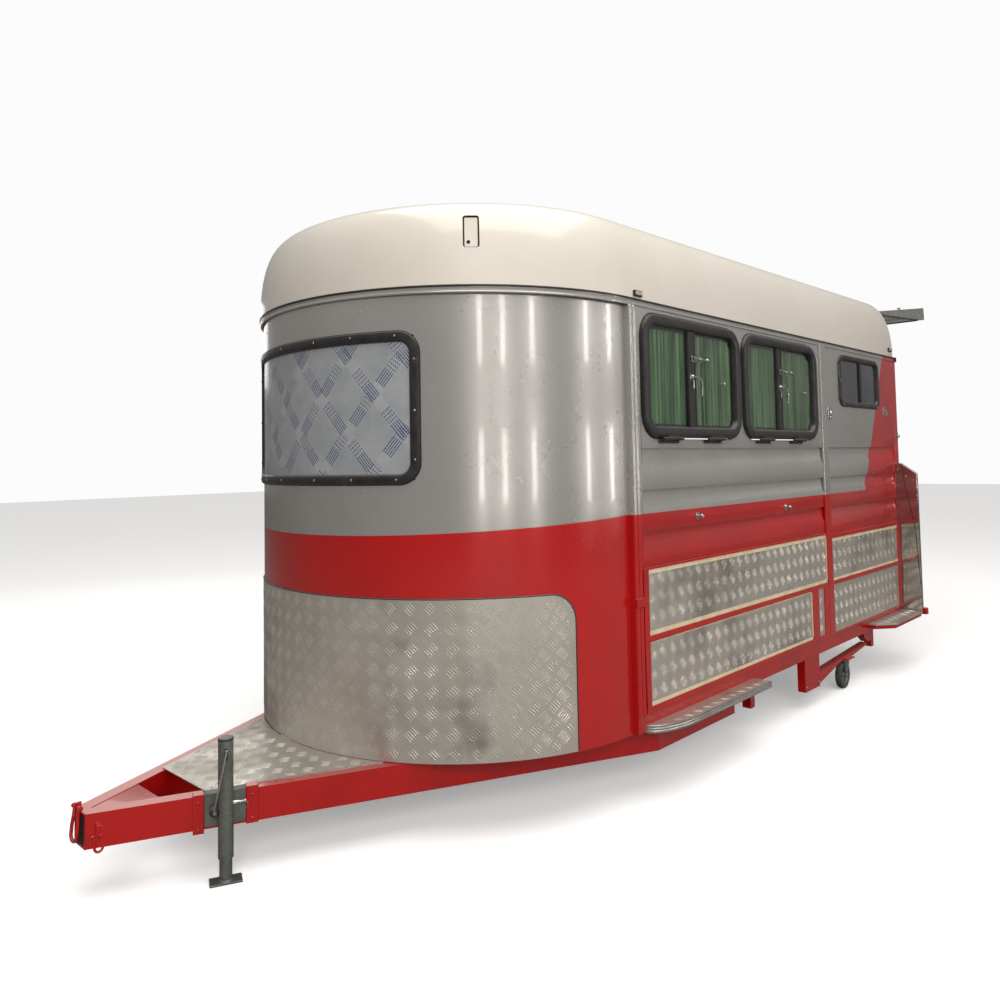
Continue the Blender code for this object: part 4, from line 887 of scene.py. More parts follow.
# ---- roof ---------------------------------------------------------------------------------
# One moulding in cream gelcoat over glass fibre, half-round in front and rounded down at the
# rear, dropped over the walls. The shoulder has a moulded seat for a lamp that is not fitted.
ROOF_BASE_Z = SEAM_Z + 0.005
ROOF_HALF, ROOF_NOSE, ROOF_REAR, ROOF_RISE = 1.105, 1.088, 3.695, 0.415
cream_gelcoat = worn_finish("cream_gelcoat", ((0.700, 0.655, 0.590), (0.640, 0.590, 0.520)), (1.3, 0.3, 0.7),
                            (0.24, 0.50), (0.55, 6.0, (0.50, 0.45, 0.38)), True, (60.0, 2.5, 0.003, 0.3),
                            Coat_Weight=0.55, Coat_Roughness=0.06)


def roof_loop(half, nose, rear, corner=0.08, steps=72):
    """Plan of the roof at one height: an oval front, straight sides and rounded rear corners."""
    loop = [(half * math.cos(a), at(0) + nose * math.sin(a))
            for a in (math.pi + math.pi * k / steps for k in range(steps + 1))]
    run = rear - corner
    loop += [(half, at(run * k / 14)) for k in range(1, 14)]
    for sign, start in ((1, 0.0), (-1, math.pi / 2)):
        centre = sign * (half - corner)
        loop += [(centre + corner * math.cos(start + math.pi / 2 * k / 8),
                  at(run) + corner * math.sin(start + math.pi / 2 * k / 8)) for k in range(9)]
    loop += [(-half, at(run * k / 14)) for k in range(13, 0, -1)]
    return loop


def roof_moulding():
    vertices, faces, starts = [], [], []
    levels = 22
    for skin, drop in ((0.0, 0.0), (0.020, 0.020)):
        for i in range(levels + 1):
            share = 1 - math.cos(i / levels * math.pi / 2)
            height = (1 - (1 - share) ** 4.9) ** (1 / 2.29)
            inset = skin + 0.336 * share
            loop = roof_loop(ROOF_HALF - inset, ROOF_NOSE - inset, ROOF_REAR - skin - 0.450 * share)
            starts.append(len(vertices))
            vertices += [(x, y, ROOF_BASE_Z + (ROOF_RISE - drop) * height * (1 + 0.022 * (y - at(0))))
                         for x, y in loop]
    n = len(roof_loop(1, 1, 2))
    rings = len(starts) // 2
    for half in (0, 1):
        for k in range(rings - 1):
            faces += band(starts[half * rings + k], starts[half * rings + k + 1], n)
        faces.append(tuple(starts[half * rings + rings - 1] + i for i in range(n)))
    faces += band(starts[0], starts[rings], n)
    return place("roof_moulding", vertices, faces, cream_gelcoat, replaces=("roof_cap",), smooth=50.0)


def carve(piece, vertices, faces):
    """Cut a closed shape out of a piece, for good."""
    mesh = bpy.data.meshes.new("carving")
    mesh.from_pydata([tuple(v) for v in vertices], [], faces)
    builder = bmesh.new()
    builder.from_mesh(mesh)
    bmesh.ops.recalc_face_normals(builder, faces=builder.faces)
    builder.to_mesh(mesh)
    builder.free()
    helper = bpy.data.objects.new("carving", mesh)
    bpy.context.scene.collection.objects.link(helper)
    cutting = piece.modifiers.new("carving", "BOOLEAN")
    cutting.operation, cutting.solver, cutting.object = "DIFFERENCE", "EXACT", helper
    view = bpy.context.evaluated_depsgraph_get()
    cut = bpy.data.meshes.new_from_object(piece.evaluated_get(view))
    piece.modifiers.clear()
    piece.data = cut
    bpy.data.objects.remove(helper)


def extruded(outline, low, high, put):
    """A closed prism as (vertices, faces): put(a, b, h) places an outline point at height h."""
    n = len(outline)
    vertices = [put(a, b, low) for a, b in outline] + [put(a, b, high) for a, b in outline]
    return vertices, [tuple(range(n)), tuple(range(n, 2 * n))] + band(0, n, n)


roof = roof_moulding()
PORTAL_HALF, PORTAL_TOP_Z = 0.985, 2.690
corner = 0.12
notch = [(-PORTAL_HALF - 0.0005, 2.2), (PORTAL_HALF + 0.0005, 2.2)]
for sign, start in ((1, 0.0), (-1, math.pi / 2)):
    notch += [(sign * (PORTAL_HALF - corner) + (corner + 0.0005) * math.cos(a),
               PORTAL_TOP_Z - corner + (corner + 0.0005) * math.sin(a))
              for a in (start + math.pi / 2 * k / 6 for k in range(7))]
carve(roof, *extruded(notch, at(3.6195), at(3.80), lambda a, b, h: (a, h, b)))


def flat_plate(name, to_world, outline, low, high, material, body="trailer", edge=0.0, replaces=()):
    """A plate of any outline in (u, v), between two heights."""
    piece = place(name, *extruded(outline, low, high, to_world), material, body, replaces)
    return rounded(piece, edge) if edge else piece


# the lamp seat on the left shoulder: a shallow pocket with one cable hole. A dark fillet round the
# # pocket's floor is painted shade in its inner corner, and the hole's dark cup is painted shade inside it
seat_normal = Vector((0.70, -0.68, 0.20)).normalized()
seat_side = Vector((0.0, 0.0, 1.0)).cross(seat_normal).normalized()
seat_up = seat_normal.cross(seat_side)
seat_centre = Vector((0.7976, -2.1608, 2.5704))


def on_seat(u, v, w):
    return seat_centre + seat_side * u + seat_up * v + seat_normal * w


carve(roof, *extruded(rounded_loop((-0.036, 0.036), (-0.075, 0.078), 0.012), -0.013, 0.060, on_seat))
seat_u, seat_v = (-0.0355, 0.0355), (-0.0745, 0.0775)
flat_plate("lamp_seat_floor", on_seat, rounded_loop(seat_u, seat_v, 0.012), -0.0145, -0.0122, cream_gelcoat)
# dark fillet round the pocket's floor: painted shade in the inner corner
surround("lamp_seat_corner_shade", on_seat, seat_u, seat_v, 0.012,
         [(0.0, -0.0122), (0.0, -0.006), (0.003, -0.0095), (0.007, -0.0122)], painted_shade_inside)
# the hole's dark cup: painted shade inside the hole
turned("lamp_seat_cable_hole", on_seat(-0.012, -0.046, -0.0122), seat_normal,
       [(0, 0), (0, 0.008), (0.003, 0.008), (0.0036, 0.006), (0.001, 0.005), (0.0008, 0)], painted_shade_inside,
       steps=20)

# gutter: aluminium rail with a rolled lip under a black bead that seals the roof's edge
GUTTER_LOW_Z = SEAM_Z - 0.030


def girdle(name, section, material, end_station=3.690, **settings):
    """A section of (outward, z) points run round the front and both sides."""
    runs = [end_station * k / 12 for k in range(12, 0, -1)]
    path = [(1.0, 0.0, run) for run in runs]
    path += [(math.cos(a), math.sin(a), 0.0) for a in (math.pi * k / 96 for k in range(97))]
    path += [(-1.0, 0.0, run) for run in reversed(runs)]
    rings = [[((HALF_WIDTH + w) * cx, at(run) - (ROOF_NOSE - 0.005 + w) * cy, z) for w, z in section]
             for cx, cy, run in path]
    return swept(name, rings, material, **settings)


lip = [(-0.006, 0.0), (0.0015, -0.001), (0.0045, 0.001), (0.0055, 0.005), (0.0035, 0.009), (0.003, 0.017),
       (0.006, 0.021), (0.0065, 0.0245), (-0.006, 0.0245)]
girdle("gutter_rail", [(w, GUTTER_LOW_Z + z) for w, z in lip], silver_enamel, replaces=("gutter_trim",))
bead = [(-0.006, -0.0052), (0.0085, -0.0052), (0.0105, -0.002), (0.0105, 0.002), (0.008, 0.0048),
        (-0.006, 0.0048)]
girdle("roof_seal", [(w, SEAM_Z + z) for w, z in bead], black_rubber)
for label, side in SIDES:
    side_boxes(f"{label}_gutter_end", side, [((3.676, 3.694), (GUTTER_LOW_Z - 0.002, SEAM_Z + 0.006),
                                              (-0.004, 0.012))], black_rubber, edge=0.002)

# ---- drop windows -------------------------------------------------------------------------
# Drop-down windows in rounded black frames: one pane in front of the other, a centre bar, ribbed
# green privacy sheets behind the glass, bright bolts and hooks, and black hinges under the frame.
WINDOW_Z = (1.676, 2.278)
WINDOW_CORNER, LEAF_FRAME = 0.115, 0.056
KNUCKLE_Z = WINDOW_Z[0] - 0.004
tinted_glass = worn_finish("tinted_glass", ((0.80, 0.86, 0.80), (0.70, 0.78, 0.70)), (6.0, 0.35, 0.75),
                           (0.015, 0.06),
                           Metallic=0.0, Transmission_Weight=1.0, IOR=1.45)


def green_sheet_finish():
    material, tree, shader = finish("green_privacy_sheet", Coat_Weight=0.2)
    streak = pattern(tree, "Noise", (1.0, 30.0, 0.7), Scale=1.6, Detail=3.0)["Fac"]
    level = add(tree, "ShaderNodeMapRange",
                {"Value": streak, "From Min": 0.35, "From Max": 0.68}).outputs["Result"]
    shade(tree, shader, mix(tree, level, (0.035, 0.070, 0.032), (0.260, 0.440, 0.230)), level, (0.6, 0.4))
    return material


green_sheet = green_sheet_finish()


def ribbed_sheet(name, to_world, u, v, low, depth, pitch, material, body):
    """A sheet of upright half-wave ribs."""
    count = int((u[1] - u[0]) / pitch * 6)
    vertices, faces = [], []
    for i in range(count + 1):
        a = u[0] + (u[1] - u[0]) * i / count
        rise = depth * (0.5 + 0.5 * math.cos(2 * math.pi * (a - u[0]) / pitch))
        for w in (low + rise, low + rise - 0.0012):
            for b in v:
                vertices.append(to_world(a, b, w))
    for i in range(count):
        k = 4 * i
        faces += [(k, k + 4, k + 5, k + 1), (k + 2, k + 3, k + 7, k + 6), (k, k + 2, k + 6, k + 4),
                  (k + 1, k + 5, k + 7, k + 3)]
    faces += [(0, 1, 3, 2), (4 * count, 4 * count + 2, 4 * count + 3, 4 * count + 1)]
    return place(name, vertices, faces, material, body, smooth=60.0)


def drop_window(body, side, stations, bar):
    where = on_side(side)
    surround(f"{body}_frame", where, stations, WINDOW_Z, WINDOW_CORNER,
             [(0.000, -0.016), (0.000, 0.010), (0.002, 0.017), (0.008, 0.0215), (0.020, 0.0235),
              (0.040, 0.0225),
              (0.050, 0.0185), (0.0545, 0.011), (0.056, -0.010), (0.070, -0.012), (0.070, -0.016)],
             black_rubber, body, along=2, replaces=(body,))
    inner = (stations[0] + LEAF_FRAME, stations[1] - LEAF_FRAME)
    inner_z = (WINDOW_Z[0] + LEAF_FRAME, WINDOW_Z[1] - LEAF_FRAME)
    low, high, middle = inner_z[0] - 0.004, inner_z[1] + 0.004, sum(inner_z) / 2
    lip_z = (low + 0.001, high - 0.001)
    side_boxes(f"{body}_bar", side, [(bar, (low, high), (-0.014, 0.010)),
                                     ((bar[0] + 0.002, bar[0] + 0.016), lip_z, (0.008, 0.015)),
                                     ((bar[1] - 0.012, bar[1] - 0.003), lip_z, (0.008, 0.013))],
               black_rubber, body, 0.0015)
    corner = WINDOW_CORNER - LEAF_FRAME
    front = [p for p in rounded_loop((inner[0] - 0.004, bar[0] + 0.03), (low, high), corner) if p[0] < bar[0]]
    front = [(bar[0] + 0.004, high)] + front + [(bar[0] + 0.004, low)]
    rear = [p for p in rounded_loop((bar[1] - 0.03, inner[1] + 0.004), (low, high), corner) if p[0] > bar[1]]
    rear.sort(key=lambda p: math.atan2(p[1] - middle, p[0] - bar[1]))
    rear = [(bar[1] - 0.004, low)] + rear + [(bar[1] - 0.004, high)]
    flat_plate(f"{body}_front_pane", where, front, 0.001, 0.004, tinted_glass, body)
    flat_plate(f"{body}_rear_pane", where, rear, -0.007, -0.004, tinted_glass, body)
    ribbed_sheet(f"{body}_privacy_sheet", where, (stations[0] + 0.020, stations[1] - 0.020),
                 (inner_z[0] - 0.010, inner_z[1] + 0.010), -0.0165, 0.006, 0.034, green_sheet, body)
    start = bar[0] + 0.030
    turned(f"{body}_bolt", where(start, 2.082, 0.026), (0, 1, 0),
           [(0, 0), (0.0, 0.0075), (0.012, 0.0085), (0.035, 0.0085),
           (0.037, 0.0065), (0.060, 0.0065), (0.062, 0.0085), (0.090, 0.0085), (0.092, 0.0055),
           (0.128, 0.0050),
           (0.132, 0.0095), (0.142, 0.0115), (0.152, 0.0085), (0.155, 0.0)], bright_steel, body, 20)
    side_boxes(f"{body}_bolt_plate", side,
               [((start - 0.004, start + 0.100), (2.066, 2.098), (0.0095, 0.0185))],
               bright_steel, body, 0.002)
    hook = [(start + 0.004, 1.990, 0.020), (start + 0.030, 1.989, 0.024), (start + 0.060, 1.985, 0.026),
            (start + 0.078, 1.970, 0.027), (start + 0.084, 1.945, 0.027), (start + 0.080, 1.915, 0.026),
            (start + 0.076, 1.895, 0.025)]
    tube(f"{body}_hook", [where(*p) for p in hook], 0.0042, bright_steel, body)
    turned(f"{body}_hook_boss", where(start + 0.006, 1.990, 0.008), (side, 0, 0),
           [(0, 0), (0, 0.017), (0.003, 0.017), (0.005, 0.012), (0.014, 0.010), (0.018, 0.007), (0.018, 0)],
           bright_steel, body, 20)
    tube(f"{body}_hook_keeper", [where(start + 0.010, 1.975, 0.014), where(start + 0.012, 1.955, 0.017),
                                 where(start + 0.011, 1.925, 0.016)], 0.0038, bright_steel, body)
    turned(f"{body}_knob", where(stations[1] - 0.181, 1.970, -0.004), (side, 0, 0),
           [(0, 0), (0, 0.010), (0.003, 0.010), (0.004, 0.005), (0.012, 0.005), (0.015, 0.0095),
            (0.021, 0.0105),
            (0.025, 0.007), (0.026, 0)], bright_steel, body, 20)
    moving, fixed, heads = [], [], []
    arms = ((-0.090, -0.056), (-0.054, 0.054), (0.056, 0.090))
    for share in (0.235, 0.680):
        centre = stations[0] + share * (stations[1] - stations[0])
        moving.append(((centre - 0.052, centre + 0.052), (WINDOW_Z[0] - 0.002, WINDOW_Z[0] + 0.012),
                       (0.018, 0.0335)))
        fixed.append(((centre - 0.090, centre + 0.090), (1.649, 1.6655), (0.0004, 0.0065)))
        fixed += [((centre + a, centre + b), (1.6625, 1.6685), (0.005, 0.032)) for a, b in (arms[0], arms[2])]
        heads += [(where(centre + d, 1.6555, 0.0065), (side, 0, 0)) for d in (-0.07, -0.025, 0.025, 0.07)]
        for number, (a, b) in enumerate(arms):
            turned(f"{body}_knuckle_{int(share * 1000)}_{number}", where(centre + a, KNUCKLE_Z, 0.030),
                   (0, 1, 0),
                   [(0, 0), (0, 0.0055), (0.001, 0.0068), (b - a - 0.001, 0.0068), (b - a, 0.0055),
                    (b - a, 0)],
                   black_rubber, body if number == 1 else "trailer", 16)
    side_boxes(f"{body}_hinge_leaf", side, moving, black_rubber, body, 0.0012)
    side_boxes(f"{body}_hinge_seat", side, fixed, black_rubber, "trailer", 0.001)
    dome_heads(f"{body}_hinge_screws", heads, 0.0042, 0.002, black_rubber)


drop_window("left_drop_window_front", 1, (0.099, 1.064), (0.512, 0.590))
drop_window("left_drop_window_rear", 1, (1.109, 2.113), (1.538, 1.608))
drop_window("right_drop_window", -1, (1.109, 2.113), (1.538, 1.608))


def hold_back(name, side, station, z):
    """Sprung catch that holds a dropped window open: a base, a stem and a nose."""
    where = on_side(side)
    turned(name, where(station, z, 0.0), (side, 0, 0),
           [(0, 0), (0, 0.020), (0.003, 0.020), (0.006, 0.016), (0.007, 0.009), (0.013, 0.008)]
           + [(0.025 - 0.013 * math.cos(a), 0.013 * math.sin(a)) for a in (0.66, 1.0, 1.57, 2.1, 2.6)]
           + [(0.038, 0)], bright_steel, steps=24)


for side, station, z in ((1, 0.58, 1.277), (1, 1.617, 1.266), (-1, 1.617, 1.266)):
    hold_back(f"hold_back_{'left' if side > 0 else 'right'}_{int(station * 1000)}", side, station, z)

# ---- rear side windows --------------------------------------------------------------------
# Fixed windows in a screwed black frame with a bar a little behind the middle. Their smoked glass is an
# # opaque near-black pane: partly the glass's own tint, partly painted shade for the dark inside behind it.
REAR_STATIONS, REAR_Z = (2.516, 3.285), (1.908, 2.271)


# near-black opaque pane: its darkness is partly tint and partly painted shade of the inside
smoked_glass_and_inside_shade = worn_finish("smoked_glass_and_inside_shade", ((0.012, 0.014, 0.017), (0.045, 0.052, 0.060)), (5.0, 0.35, 0.75),
                          (0.05, 0.16), Coat_Weight=0.8, Coat_Roughness=0.03)
for label, side in SIDES:
    where = on_side(side)
    surround(f"{label}_rear_window_frame", where, REAR_STATIONS, REAR_Z, 0.075,
             [(0.0, 0.0004), (0.0, 0.006), (0.004, 0.0105), (0.014, 0.0125), (0.028, 0.0115), (0.036, 0.008),
              (0.039, 0.002), (0.040, -0.012), (0.024, -0.012), (0.022, 0.0004)], black_rubber, along=2,
             replaces=(f"{label}_rear_window",))
    flat_plate(f"{label}_rear_window_pane", where, rounded_loop(REAR_STATIONS, REAR_Z, 0.075, 0.030), -0.009,
               -0.005,
               smoked_glass_and_inside_shade)
    bar_at = REAR_STATIONS[0] + 0.53 * (REAR_STATIONS[1] - REAR_STATIONS[0])
    side_boxes(f"{label}_rear_window_bar", side, [((bar_at - 0.016, bar_at + 0.016),
               (REAR_Z[0] + 0.034, REAR_Z[1] - 0.034), (-0.008, 0.006))], black_rubber, edge=0.002)
    spots = [(REAR_STATIONS[0] + a, z) for a in (0.06, 0.28, 0.49, 0.71)
             for z in (REAR_Z[0] + 0.016, REAR_Z[1] - 0.016)]
    spots += [(s, sum(REAR_Z) / 2) for s in (REAR_STATIONS[0] + 0.016, REAR_STATIONS[1] - 0.016)]
    heads = [(where(s, z, 0.0122), (side, 0, 0)) for s, z in spots]
    dome_heads(f"{label}_rear_window_screws", heads, 0.0045, 0.0022, bright_steel)

# ---- side fittings ------------------------------------------------------------------------
# Bright pressed plates with tie rings, black marker lamps under the gutter, and the bolt that
# holds the rear door's latch post.
def lens_finish(name, fine, colours, rough, strength):
    """Moulded plastic with a fine cell pattern under a clear gloss."""
    material, tree, shader = finish(name, Coat_Weight=0.6, Coat_Roughness=0.05)
    cells = pattern(tree, "Voronoi", Scale=fine)["Distance"]
    shade(tree, shader, mix(tree, cells, *colours), cells, rough)
    relief(tree, shader, cells, 0.001, strength)
    return material


marker_lens = lens_finish("marker_lens", 260.0, ((0.30, 0.285, 0.26), (0.45, 0.43, 0.39)), (0.12, 0.25), 0.5)


def tie_plate(name, side, station, z):
    where = on_side(side)
    turns = [2 * math.pi * k / 32 for k in range(32)]
    steps = ((0.0, 0.0003), (0.0, 0.002), (0.003, 0.0038), (0.008, 0.0038), (0.011, 0.001), (0.018, 0.0006))
    rings = [[where(station + (0.027 - shrink) * math.cos(a), z + (0.045 - shrink) * math.sin(a), w)
              for a in turns]
             for shrink, w in steps]
    swept(f"{name}_plate", rings, bright_steel, smooth=50.0)
    ring = [where(station + 0.016 * math.sin(a), z - 0.004 + 0.026 * math.cos(a),
                  0.008 + 0.004 * (1 - math.cos(a)))
            for a in (2 * math.pi * k / 24 for k in range(24))]
    tube(f"{name}_ring", ring, 0.0030, bright_steel, closed=True, steps=8)


for label, side in SIDES:
    tie_plate(f"{label}_tie_front", side, 2.343, 1.856)
    tie_plate(f"{label}_tie_rear", side, 3.410, 1.895)
    for number, (s, z) in enumerate(((0.075, 2.358), (3.560, 2.386)), 1):
        side_boxes(f"{label}_marker_base_{number}", side,
                   [((s - 0.034, s + 0.034), (z - 0.015, z + 0.015), (0.004, 0.016))], black_rubber,
                   edge=0.004)
        side_boxes(f"{label}_marker_lens_{number}", side,
                   [((s - 0.026, s + 0.026), (z - 0.009, z + 0.009), (0.015, 0.021))], marker_lens,
                   edge=0.003)
# ---- lining -------------------------------------------------------------------------------
# Inside, a ribbed rubber kicking mat lines the lower walls and pale wipe-clean board the upper
# ones, stopped clear of every window.
lining_board = worn_finish("lining_board", ((0.52, 0.50, 0.46), (0.38, 0.36, 0.32)), (8.0, 0.4, 0.8),
                           (0.4, 0.65),
                           skin=(120.0, 1.0, 0.002, 0.3), Coat_Weight=0.1)
LINING = (-0.036, -0.0325)
for label, side in SIDES:
    start = 0.065 if side > 0 else 0.840
    windows = [(0.099, 1.064), (1.109, 2.113)] if side > 0 else [(1.109, 2.113)]
    mat = [((start, 3.610), (0.436, 1.100), LINING)]
    mat += [((start, 3.610), (z, z + 0.012), (-0.041, -0.035)) for z in (0.50 + 0.07 * k for k in range(9))]
    side_boxes(f"{label}_kicking_mat", side, mat, black_rubber, edge=0.001)
    gaps, cursor = [], start
    for a, b in windows + [REAR_STATIONS]:
        gaps.append((cursor, a - 0.010))
        cursor = b + 0.010
    gaps.append((cursor, 3.610))
    boards = [((start, 3.610), (1.102, 1.662), LINING), ((start, 3.610), (2.290, 2.329), LINING),
              ((2.123, 3.610), (1.664, 1.890), LINING)]
    boards += [(gap, (1.664, 2.288), LINING) for gap in gaps[:-2] if gap[1] - gap[0] > 0.012]
    boards += [((2.123, REAR_STATIONS[0] - 0.010), (1.892, 2.288), LINING),
               (gaps[-1], (1.892, 2.288), LINING)]
    side_boxes(f"{label}_lining", side, boards, lining_board, edge=0.0008)

# ---- groom's door -------------------------------------------------------------------------
# Walk-in door of the same sandwich panel, hung on two strap hinges, with a lift handle and a lock.
softened("groom_door", silver_enamel, 0.003, 3)
door_low, door_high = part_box("groom_door")
right_side = on_side(-1)
side_boxes("groom_door_handle_plate", -1, [((0.700, 0.765), (1.170, 1.330), (0.0005, 0.007))], black_rubber,
           "groom_door", 0.003)
tube("groom_door_handle", [right_side(0.732, 1.300, 0.006), right_side(0.732, 1.300, 0.030),
                           right_side(0.732, 1.280, 0.038), right_side(0.732, 1.215, 0.038),
                           right_side(0.732, 1.195, 0.030), right_side(0.732, 1.195, 0.006)], 0.0065,
     bright_steel,
     "groom_door")
turned("groom_door_lock", right_side(0.732, 1.362, 0.0), (-1, 0, 0), [(0, 0), (0, 0.014), (0.005, 0.0135),
       (0.008, 0.010), (0.008, 0.004), (0.006, 0)], bright_steel, "groom_door", 24)
side_boxes("groom_door_straps", -1, [((0.118, 0.300), (z - 0.022, z + 0.022), (0.0005, 0.006))
                                     for z in (0.737, 1.970)], black_rubber, "groom_door", 0.002)
dome_heads("groom_door_bolts", [(right_side(s, z, 0.006), (-1, 0, 0)) for s in (0.16, 0.215, 0.27)
                                for z in (0.737, 1.970)], 0.006, 0.0035, bright_steel, "groom_door")
surround("groom_door_light_frame", right_side, (0.240, 0.680), (1.760, 2.180), 0.06,
         [(0.0, 0.0004), (0.0, 0.006), (0.004, 0.010), (0.020, 0.011), (0.030, 0.007), (0.034, 0.0004)],
         black_rubber, "groom_door", along=2)
# the door's light uses the same near-black pane: partly tint, partly painted shade of the inside
flat_plate("groom_door_light", right_side, rounded_loop((0.240, 0.680), (1.760, 2.180), 0.06, 0.030), 0.0005,
           0.0035, smoked_glass_and_inside_shade, "groom_door")
surround("groom_door_seal", right_side, (0.100, 0.820), (door_low.z - 0.012, door_high.z + 0.012), 0.03,
         [(0.0, 0.0004), (0.0, 0.0035), (0.006, 0.0045), (0.0085, 0.002), (0.0085, 0.0004)], black_rubber,
         along=2)

# ---- rear portal --------------------------------------------------------------------------
# The welded frame round the rear opening, red like the rear corners, with a black sponge seal,
# the struts' lower brackets and a bright bolt on each post.
softened("rear_portal", red_enamel, 0.003, 3)
REAR_FACE = at(3.690)


def on_rear(x, z, w):
    return x, REAR_FACE + w, z


surround("rear_seal", on_rear, (-0.962, 0.962), (0.437, 2.645), 0.085,
         [(0.0, 0.0004), (0.001, 0.005), (0.008, 0.0075), (0.015, 0.005), (0.016, 0.0004)], black_rubber,
         along=6)
for label, side in SIDES:
    side_boxes(f"{label}_post_bolt_plate", side, [((3.655, 3.688), (1.690, 1.738), (0.0005, 0.004))],
               bright_steel,
               edge=0.001)
    turned(f"{label}_post_bolt", on_side(side)(3.672, 1.713, 0.003), (side, 0, 0),
           [(0, 0), (0, 0.011), (0.005, 0.011), (0.006, 0.0075), (0.009, 0.007), (0.011, 0.0105),
            (0.014, 0.0095),
            (0.015, 0)], aluminium_strip, steps=20)

# ---- tail door ----------------------------------------------------------------------------
# Wedge-shaped top door of gelcoated panel, swung up above the opening: cream skins, grey
# aluminium end plates and a black rubber lip along its free edge.
TAIL_PIVOT = Vector((0.0, at(3.705), 2.705))
TAIL_RAISED = math.radians(94.0)
TAIL_LENGTH, TAIL_THIN, TAIL_THICK = 1.200, 0.022, 0.105
tail_turn = Matrix.Translation(TAIL_PIVOT) @ Matrix.Rotation(TAIL_RAISED, 4, "X")
softened("tail_door", cream_gelcoat, 0.003, 3)


def tail_plates():
    """End plates that follow the wedge, made with the door shut and turned up with it."""
    for label, side in SIDES:
        section = [(0.001, -0.016), (TAIL_THIN - 0.001, -0.016), (TAIL_THICK - 0.001, -TAIL_LENGTH + 0.050),
                   (TAIL_THICK - 0.001, -TAIL_LENGTH + 0.002), (0.001, -TAIL_LENGTH + 0.002)]
        face = side * PORTAL_HALF
        vertices, faces = extruded(section, 0.0002, 0.0022, lambda a, b, h, f=face,
                                   s=side: tail_turn @ Vector(
            (f + s * h, a, b)))
        place(f"tail_door_{label}_plate", vertices, faces, aluminium_strip, "tail_door")
        heads = [(tail_turn @ Vector((face + side * 0.0022, 0.010 + 0.030 * share, -TAIL_LENGTH * share)),
                  (side, 0, 0))
                 for share in (0.12, 0.35, 0.6, 0.9)]
        dome_heads(f"tail_door_{label}_rivets", heads, 0.005, 0.002, aluminium_strip, "tail_door")


tail_plates()
boxes("tail_door_lip", [((-PORTAL_HALF + 0.002, PORTAL_HALF - 0.002), (0.010, TAIL_THICK - 0.006),
                         (-TAIL_LENGTH - 0.006, -TAIL_LENGTH + 0.001)),
                        ((-PORTAL_HALF + 0.002, PORTAL_HALF - 0.002),
                         (TAIL_THICK - 0.020, TAIL_THICK + 0.004),
                         (-TAIL_LENGTH - 0.006, -TAIL_LENGTH + 0.030))], black_rubber, "tail_door", 0.003,
      turn=tail_turn)
surround("tail_door_inner_seal", lambda x, z, w: tail_turn @ Vector((x, -w, z)), (-0.955, 0.955),
         (-TAIL_LENGTH + 0.020, -0.060), 0.06,
         [(0.0, -0.001), (0.001, 0.004), (0.008, 0.006), (0.015, 0.004), (0.016, -0.001)], black_rubber,
         "tail_door",
         along=4)
for number, x in enumerate((-0.70, 0.70), 1):
    strap = [((x - 0.045, x + 0.045), (TAIL_THIN - 0.001, TAIL_THIN + 0.004), (-0.200, -0.030))]
    boxes(f"tail_door_hinge_strap_{number}", strap, black_rubber, "tail_door", 0.002,
          turn=tail_turn @ Matrix.Rotation(math.radians(4.1), 4, "X"))
for number, x in enumerate((-0.80, 0.80), 1):
    turned(f"tail_door_catch_{number}", tail_turn @ Vector((x, TAIL_THICK, -TAIL_LENGTH + 0.080)),
           tail_turn.to_3x3() @ Vector((0, 1, 0)), [(0, 0), (0, 0.020), (0.004, 0.020), (0.006, 0.012),
           (0.018, 0.010), (0.021, 0.015), (0.027, 0.014), (0.029, 0)], bright_steel, "tail_door", 20)

# ---- tail door struts ---------------------------------------------------------------------
# Gas struts: black barrels pinned to the posts, bright rods pinned to the door.
def strut(label, side):
    arm_y, arm_z = -0.060, -0.280
    c, s = math.cos(TAIL_RAISED), math.sin(TAIL_RAISED)
    base = Vector((side * 0.914, at(3.640), 1.850))
    eye = TAIL_PIVOT + Vector((side * 0.914, arm_y * c - arm_z * s, arm_y * s + arm_z * c))
    along = (eye - base).normalized()
    closed = math.dist((3.640, 1.850), (3.705 + arm_y, 2.705 + arm_z))
    turned(f"{label}_strut_barrel", base, along,
           [(0.010, 0), (0.010, 0.0085), (0.024, 0.0095), (0.027, 0.0138),
           (0.516, 0.0138), (0.520, 0.0125), (0.520, 0.0072), (0.030, 0.0072), (0.030, 0)], black_rubber,
           f"{label}_strut_tube", 24, (f"{label}_strut_tube",))
    turned(f"{label}_strut_base_eye", base - Vector((0.009, 0, 0)), (1, 0, 0),
           [(0, 0.007), (0, 0.015), (0.002, 0.016), (0.016, 0.016), (0.018, 0.015), (0.018, 0.007),
            (0, 0.007)],
           black_rubber, f"{label}_strut_tube", 24)
    length = (eye - base).length
    rod_end = length - (closed - 0.040)
    turned(f"{label}_strut_shaft", base, along, [(rod_end, 0), (rod_end, 0.0055), (rod_end + 0.002, 0.006),
           (length - 0.030, 0.006), (length - 0.028, 0.008), (length - 0.010, 0.008), (length - 0.010, 0)],
           bright_steel, f"{label}_strut_rod", 20, (f"{label}_strut_rod",))
    turned(f"{label}_strut_top_eye", eye - Vector((0.008, 0, 0)), (1, 0, 0),
           [(0, 0.006), (0, 0.011), (0.002, 0.012), (0.014, 0.012), (0.016, 0.011), (0.016, 0.006),
            (0, 0.006)],
           bright_steel, f"{label}_strut_rod", 24)


strut("left", 1)
strut("right", -1)

# ---- rear ramp ----------------------------------------------------------------------------
# Loading ramp, shut: a red-skinned panel in a folded frame, tread plate along its foot, hung on
# three barrels, held by an over-centre latch at each side. The number plate panel is blank.
softened("rear_ramp", red_enamel, 0.003, 3)
RAMP_FACE = at(3.700) + 0.050


def ramp_boxes(name, sizes, material, edge=0.002):
    blocks = [(x, (RAMP_FACE + w[0], RAMP_FACE + w[1]), z) for x, z, w in sizes]
    return boxes(name, blocks, material, "rear_ramp", edge)


